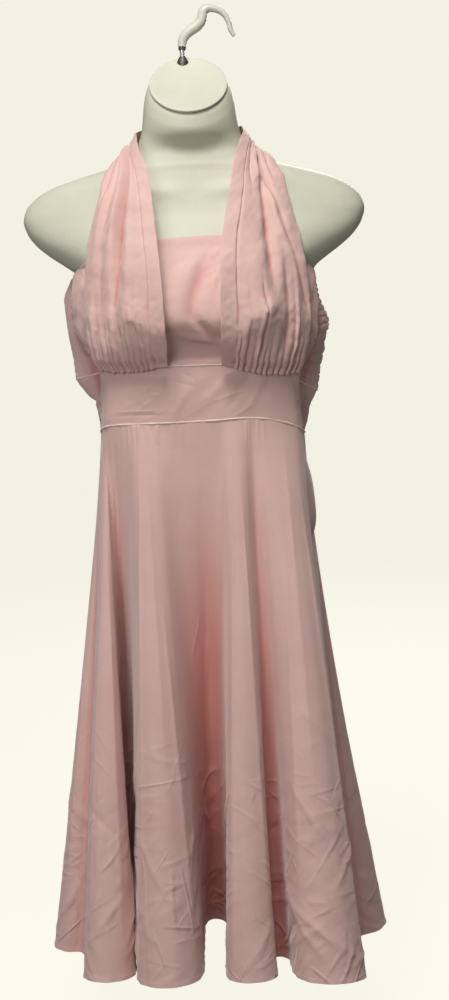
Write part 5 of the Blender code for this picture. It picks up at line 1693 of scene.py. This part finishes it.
RIGHT_FOLDS = [
    PanelFold((3.4, 0.97), (10.4, 0.55), -0.0090, 0.030, Fall.CRISP),
    PanelFold((4.2, 0.88), (9.6, 0.46), 0.0036, 0.060),
    PanelFold((4.0, 0.52), (9.4, 0.60), -0.0080, 0.065),
    PanelFold((0.8, 0.42), (4.8, 0.40), -0.0026, 0.016, Fall.CRISP),
    PanelFold((7.6, 0.36), (13.2, 0.40), -0.0026, 0.036, Fall.CRISP),
    PanelFold((8.2, 0.80), (13.0, 0.76), -0.0034, 0.032, Fall.CRISP),
    PanelFold((9.6, 0.56), (13.4, 0.58), -0.0034, 0.032, Fall.CRISP),
    PanelFold((1.6, 0.68), (5.4, 0.70), -0.0026, 0.035),
    PanelFold((2.0, 0.84), (6.4, 0.82), 0.0018, 0.050),
]


@dataclass(frozen=True)
class Studio:
    """The camera at the photograph's place, soft lights and a plain pale floor."""

    focal_pixels: float = 1327.0
    distance: float = 1.60
    height: float = 0.1035
    pitch: float = math.radians(7.3)
    yaw: float = math.radians(0.73)
    roll: float = math.radians(2.6)
    floor_drop: float = 0.80

    def camera(self) -> None:
        """Set the camera, turned about its own line of sight as the photograph was."""
        forward = Vector((math.sin(self.yaw) * math.cos(self.pitch), math.cos(self.yaw) * math.cos(self.pitch),
                          -math.sin(self.pitch)))
        right = forward.cross(Vector((0.0, 0.0, 1.0))).normalized()
        up = right.cross(forward).normalized()
        turned_right = right * math.cos(self.roll) - up * math.sin(self.roll)
        turned_up = right * math.sin(self.roll) + up * math.cos(self.roll)
        data = bpy.data.cameras.new("camera")
        data.sensor_width = 36.0
        data.lens = self.focal_pixels * data.sensor_width / IMAGE_HEIGHT
        camera = bpy.data.objects.new("camera", data)
        bpy.context.scene.collection.objects.link(camera)
        turn = Matrix((turned_right, turned_up, -forward)).transposed().to_4x4()
        place = Vector((0.0, -self.distance, self.height)) + Vector(WAIST_FROM_HOOK)
        camera.matrix_world = Matrix.Translation(place) @ turn
        bpy.context.scene.camera = camera

    def light(self, name: str, place: tuple[float, float, float], target: tuple[float, float, float],
              size: float, power: float, colour: tuple[float, float, float]) -> None:
        """Hang one square soft light."""
        data = bpy.data.lights.new(name, "AREA")
        data.size, data.energy, data.color = size, power, colour
        light = bpy.data.objects.new(name, data)
        bpy.context.scene.collection.objects.link(light)
        light.location = place
        light.rotation_euler = (Vector(target) - Vector(place)).to_track_quat("-Z", "Y").to_euler()

    def world(self) -> None:
        """Light the room faintly and show it pale behind the dress."""
        bpy.context.scene.view_settings.view_transform = "Standard"
        world = bpy.data.worlds.new("room")
        bpy.context.scene.world = world
        world.use_nodes = True
        tree = world.node_tree
        seen = tree.nodes.new("ShaderNodeLightPath")
        dim, pale = tree.nodes["Background"], tree.nodes.new("ShaderNodeBackground")
        dim.inputs["Color"].default_value = (1.0, 0.985, 0.95, 1.0)
        dim.inputs["Strength"].default_value = 0.17
        pale.inputs["Color"].default_value = (0.89, 0.88, 0.775, 1.0)
        pale.inputs["Strength"].default_value = 1.0
        mix = tree.nodes.new("ShaderNodeMixShader")
        tree.links.new(seen.outputs["Is Camera Ray"], mix.inputs[0])
        tree.links.new(dim.outputs[0], mix.inputs[1])
        tree.links.new(pale.outputs[0], mix.inputs[2])
        tree.links.new(mix.outputs[0], tree.nodes["World Output"].inputs[0])

    def floor(self) -> None:
        """Lay the floor below the hem."""
        mesh = bmesh.new()
        bmesh.ops.create_grid(mesh, x_segments=2, y_segments=2, size=60.0)
        place = Vector(WAIST_FROM_HOOK) - Vector((0.0, 0.0, self.floor_drop))
        bmesh.ops.translate(mesh, vec=place, verts=mesh.verts)
        shader = Shader("pale_floor")
        space = shader.node("ShaderNodeTexCoord", {}, {}, "Object")
        tone = shader.mix(shader.noise(space, 3.0), (0.12, 0.118, 0.104), (0.13, 0.128, 0.112))
        glow = {"Roughness": 0.8, "Emission Color": (0.87, 0.86, 0.755, 1.0), "Emission Strength": 0.98}
        floor = object_from("floor", mesh, shader.finish({"Base Color": tone}, glow))
        floor.visible_diffuse = False
        floor.visible_glossy = False

    def build(self) -> None:
        """Set up everything that isn't the dress."""
        self.camera()
        self.world()
        self.floor()
        self.light("overhead", (-0.16, -0.86, 1.00), (-0.03, -0.08, -0.60), 0.50, 20.0, (1.0, 0.985, 0.95))
        self.light("front_fill", (-1.0, -2.5, 0.2), (-0.03, 0.0, -0.6), 1.0, 20.0, (1.0, 0.98, 0.96))
        self.light("back_fill", (0.6, 2.3, 0.7), (-0.03, 0.0, -0.6), 1.0, 30.0, (1.0, 0.98, 0.96))


def main() -> None:
    """Build the form and the dress in order, then the studio."""
    logging.basicConfig(level=logging.INFO, format="%(name)s %(message)s")
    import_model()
    finishes = Finishes()
    form = DressForm(finishes)
    shell = form.build()
    ground = Ground([(shell, True)])
    trunk = Trunk(finishes, form, ground)
    panels = trunk.build()
    under = Ground([(shell, True), *((panel, False) for panel in panels)])
    HalterPanel(finishes, -1, under, LEFT_FOLDS, 12, 101).build()
    HalterPanel(finishes, 1, under, RIGHT_FOLDS, 13, 102).build()
    Skirt(finishes, trunk, ground).build()
    Studio().build()


if __name__ == "__main__":
    main()
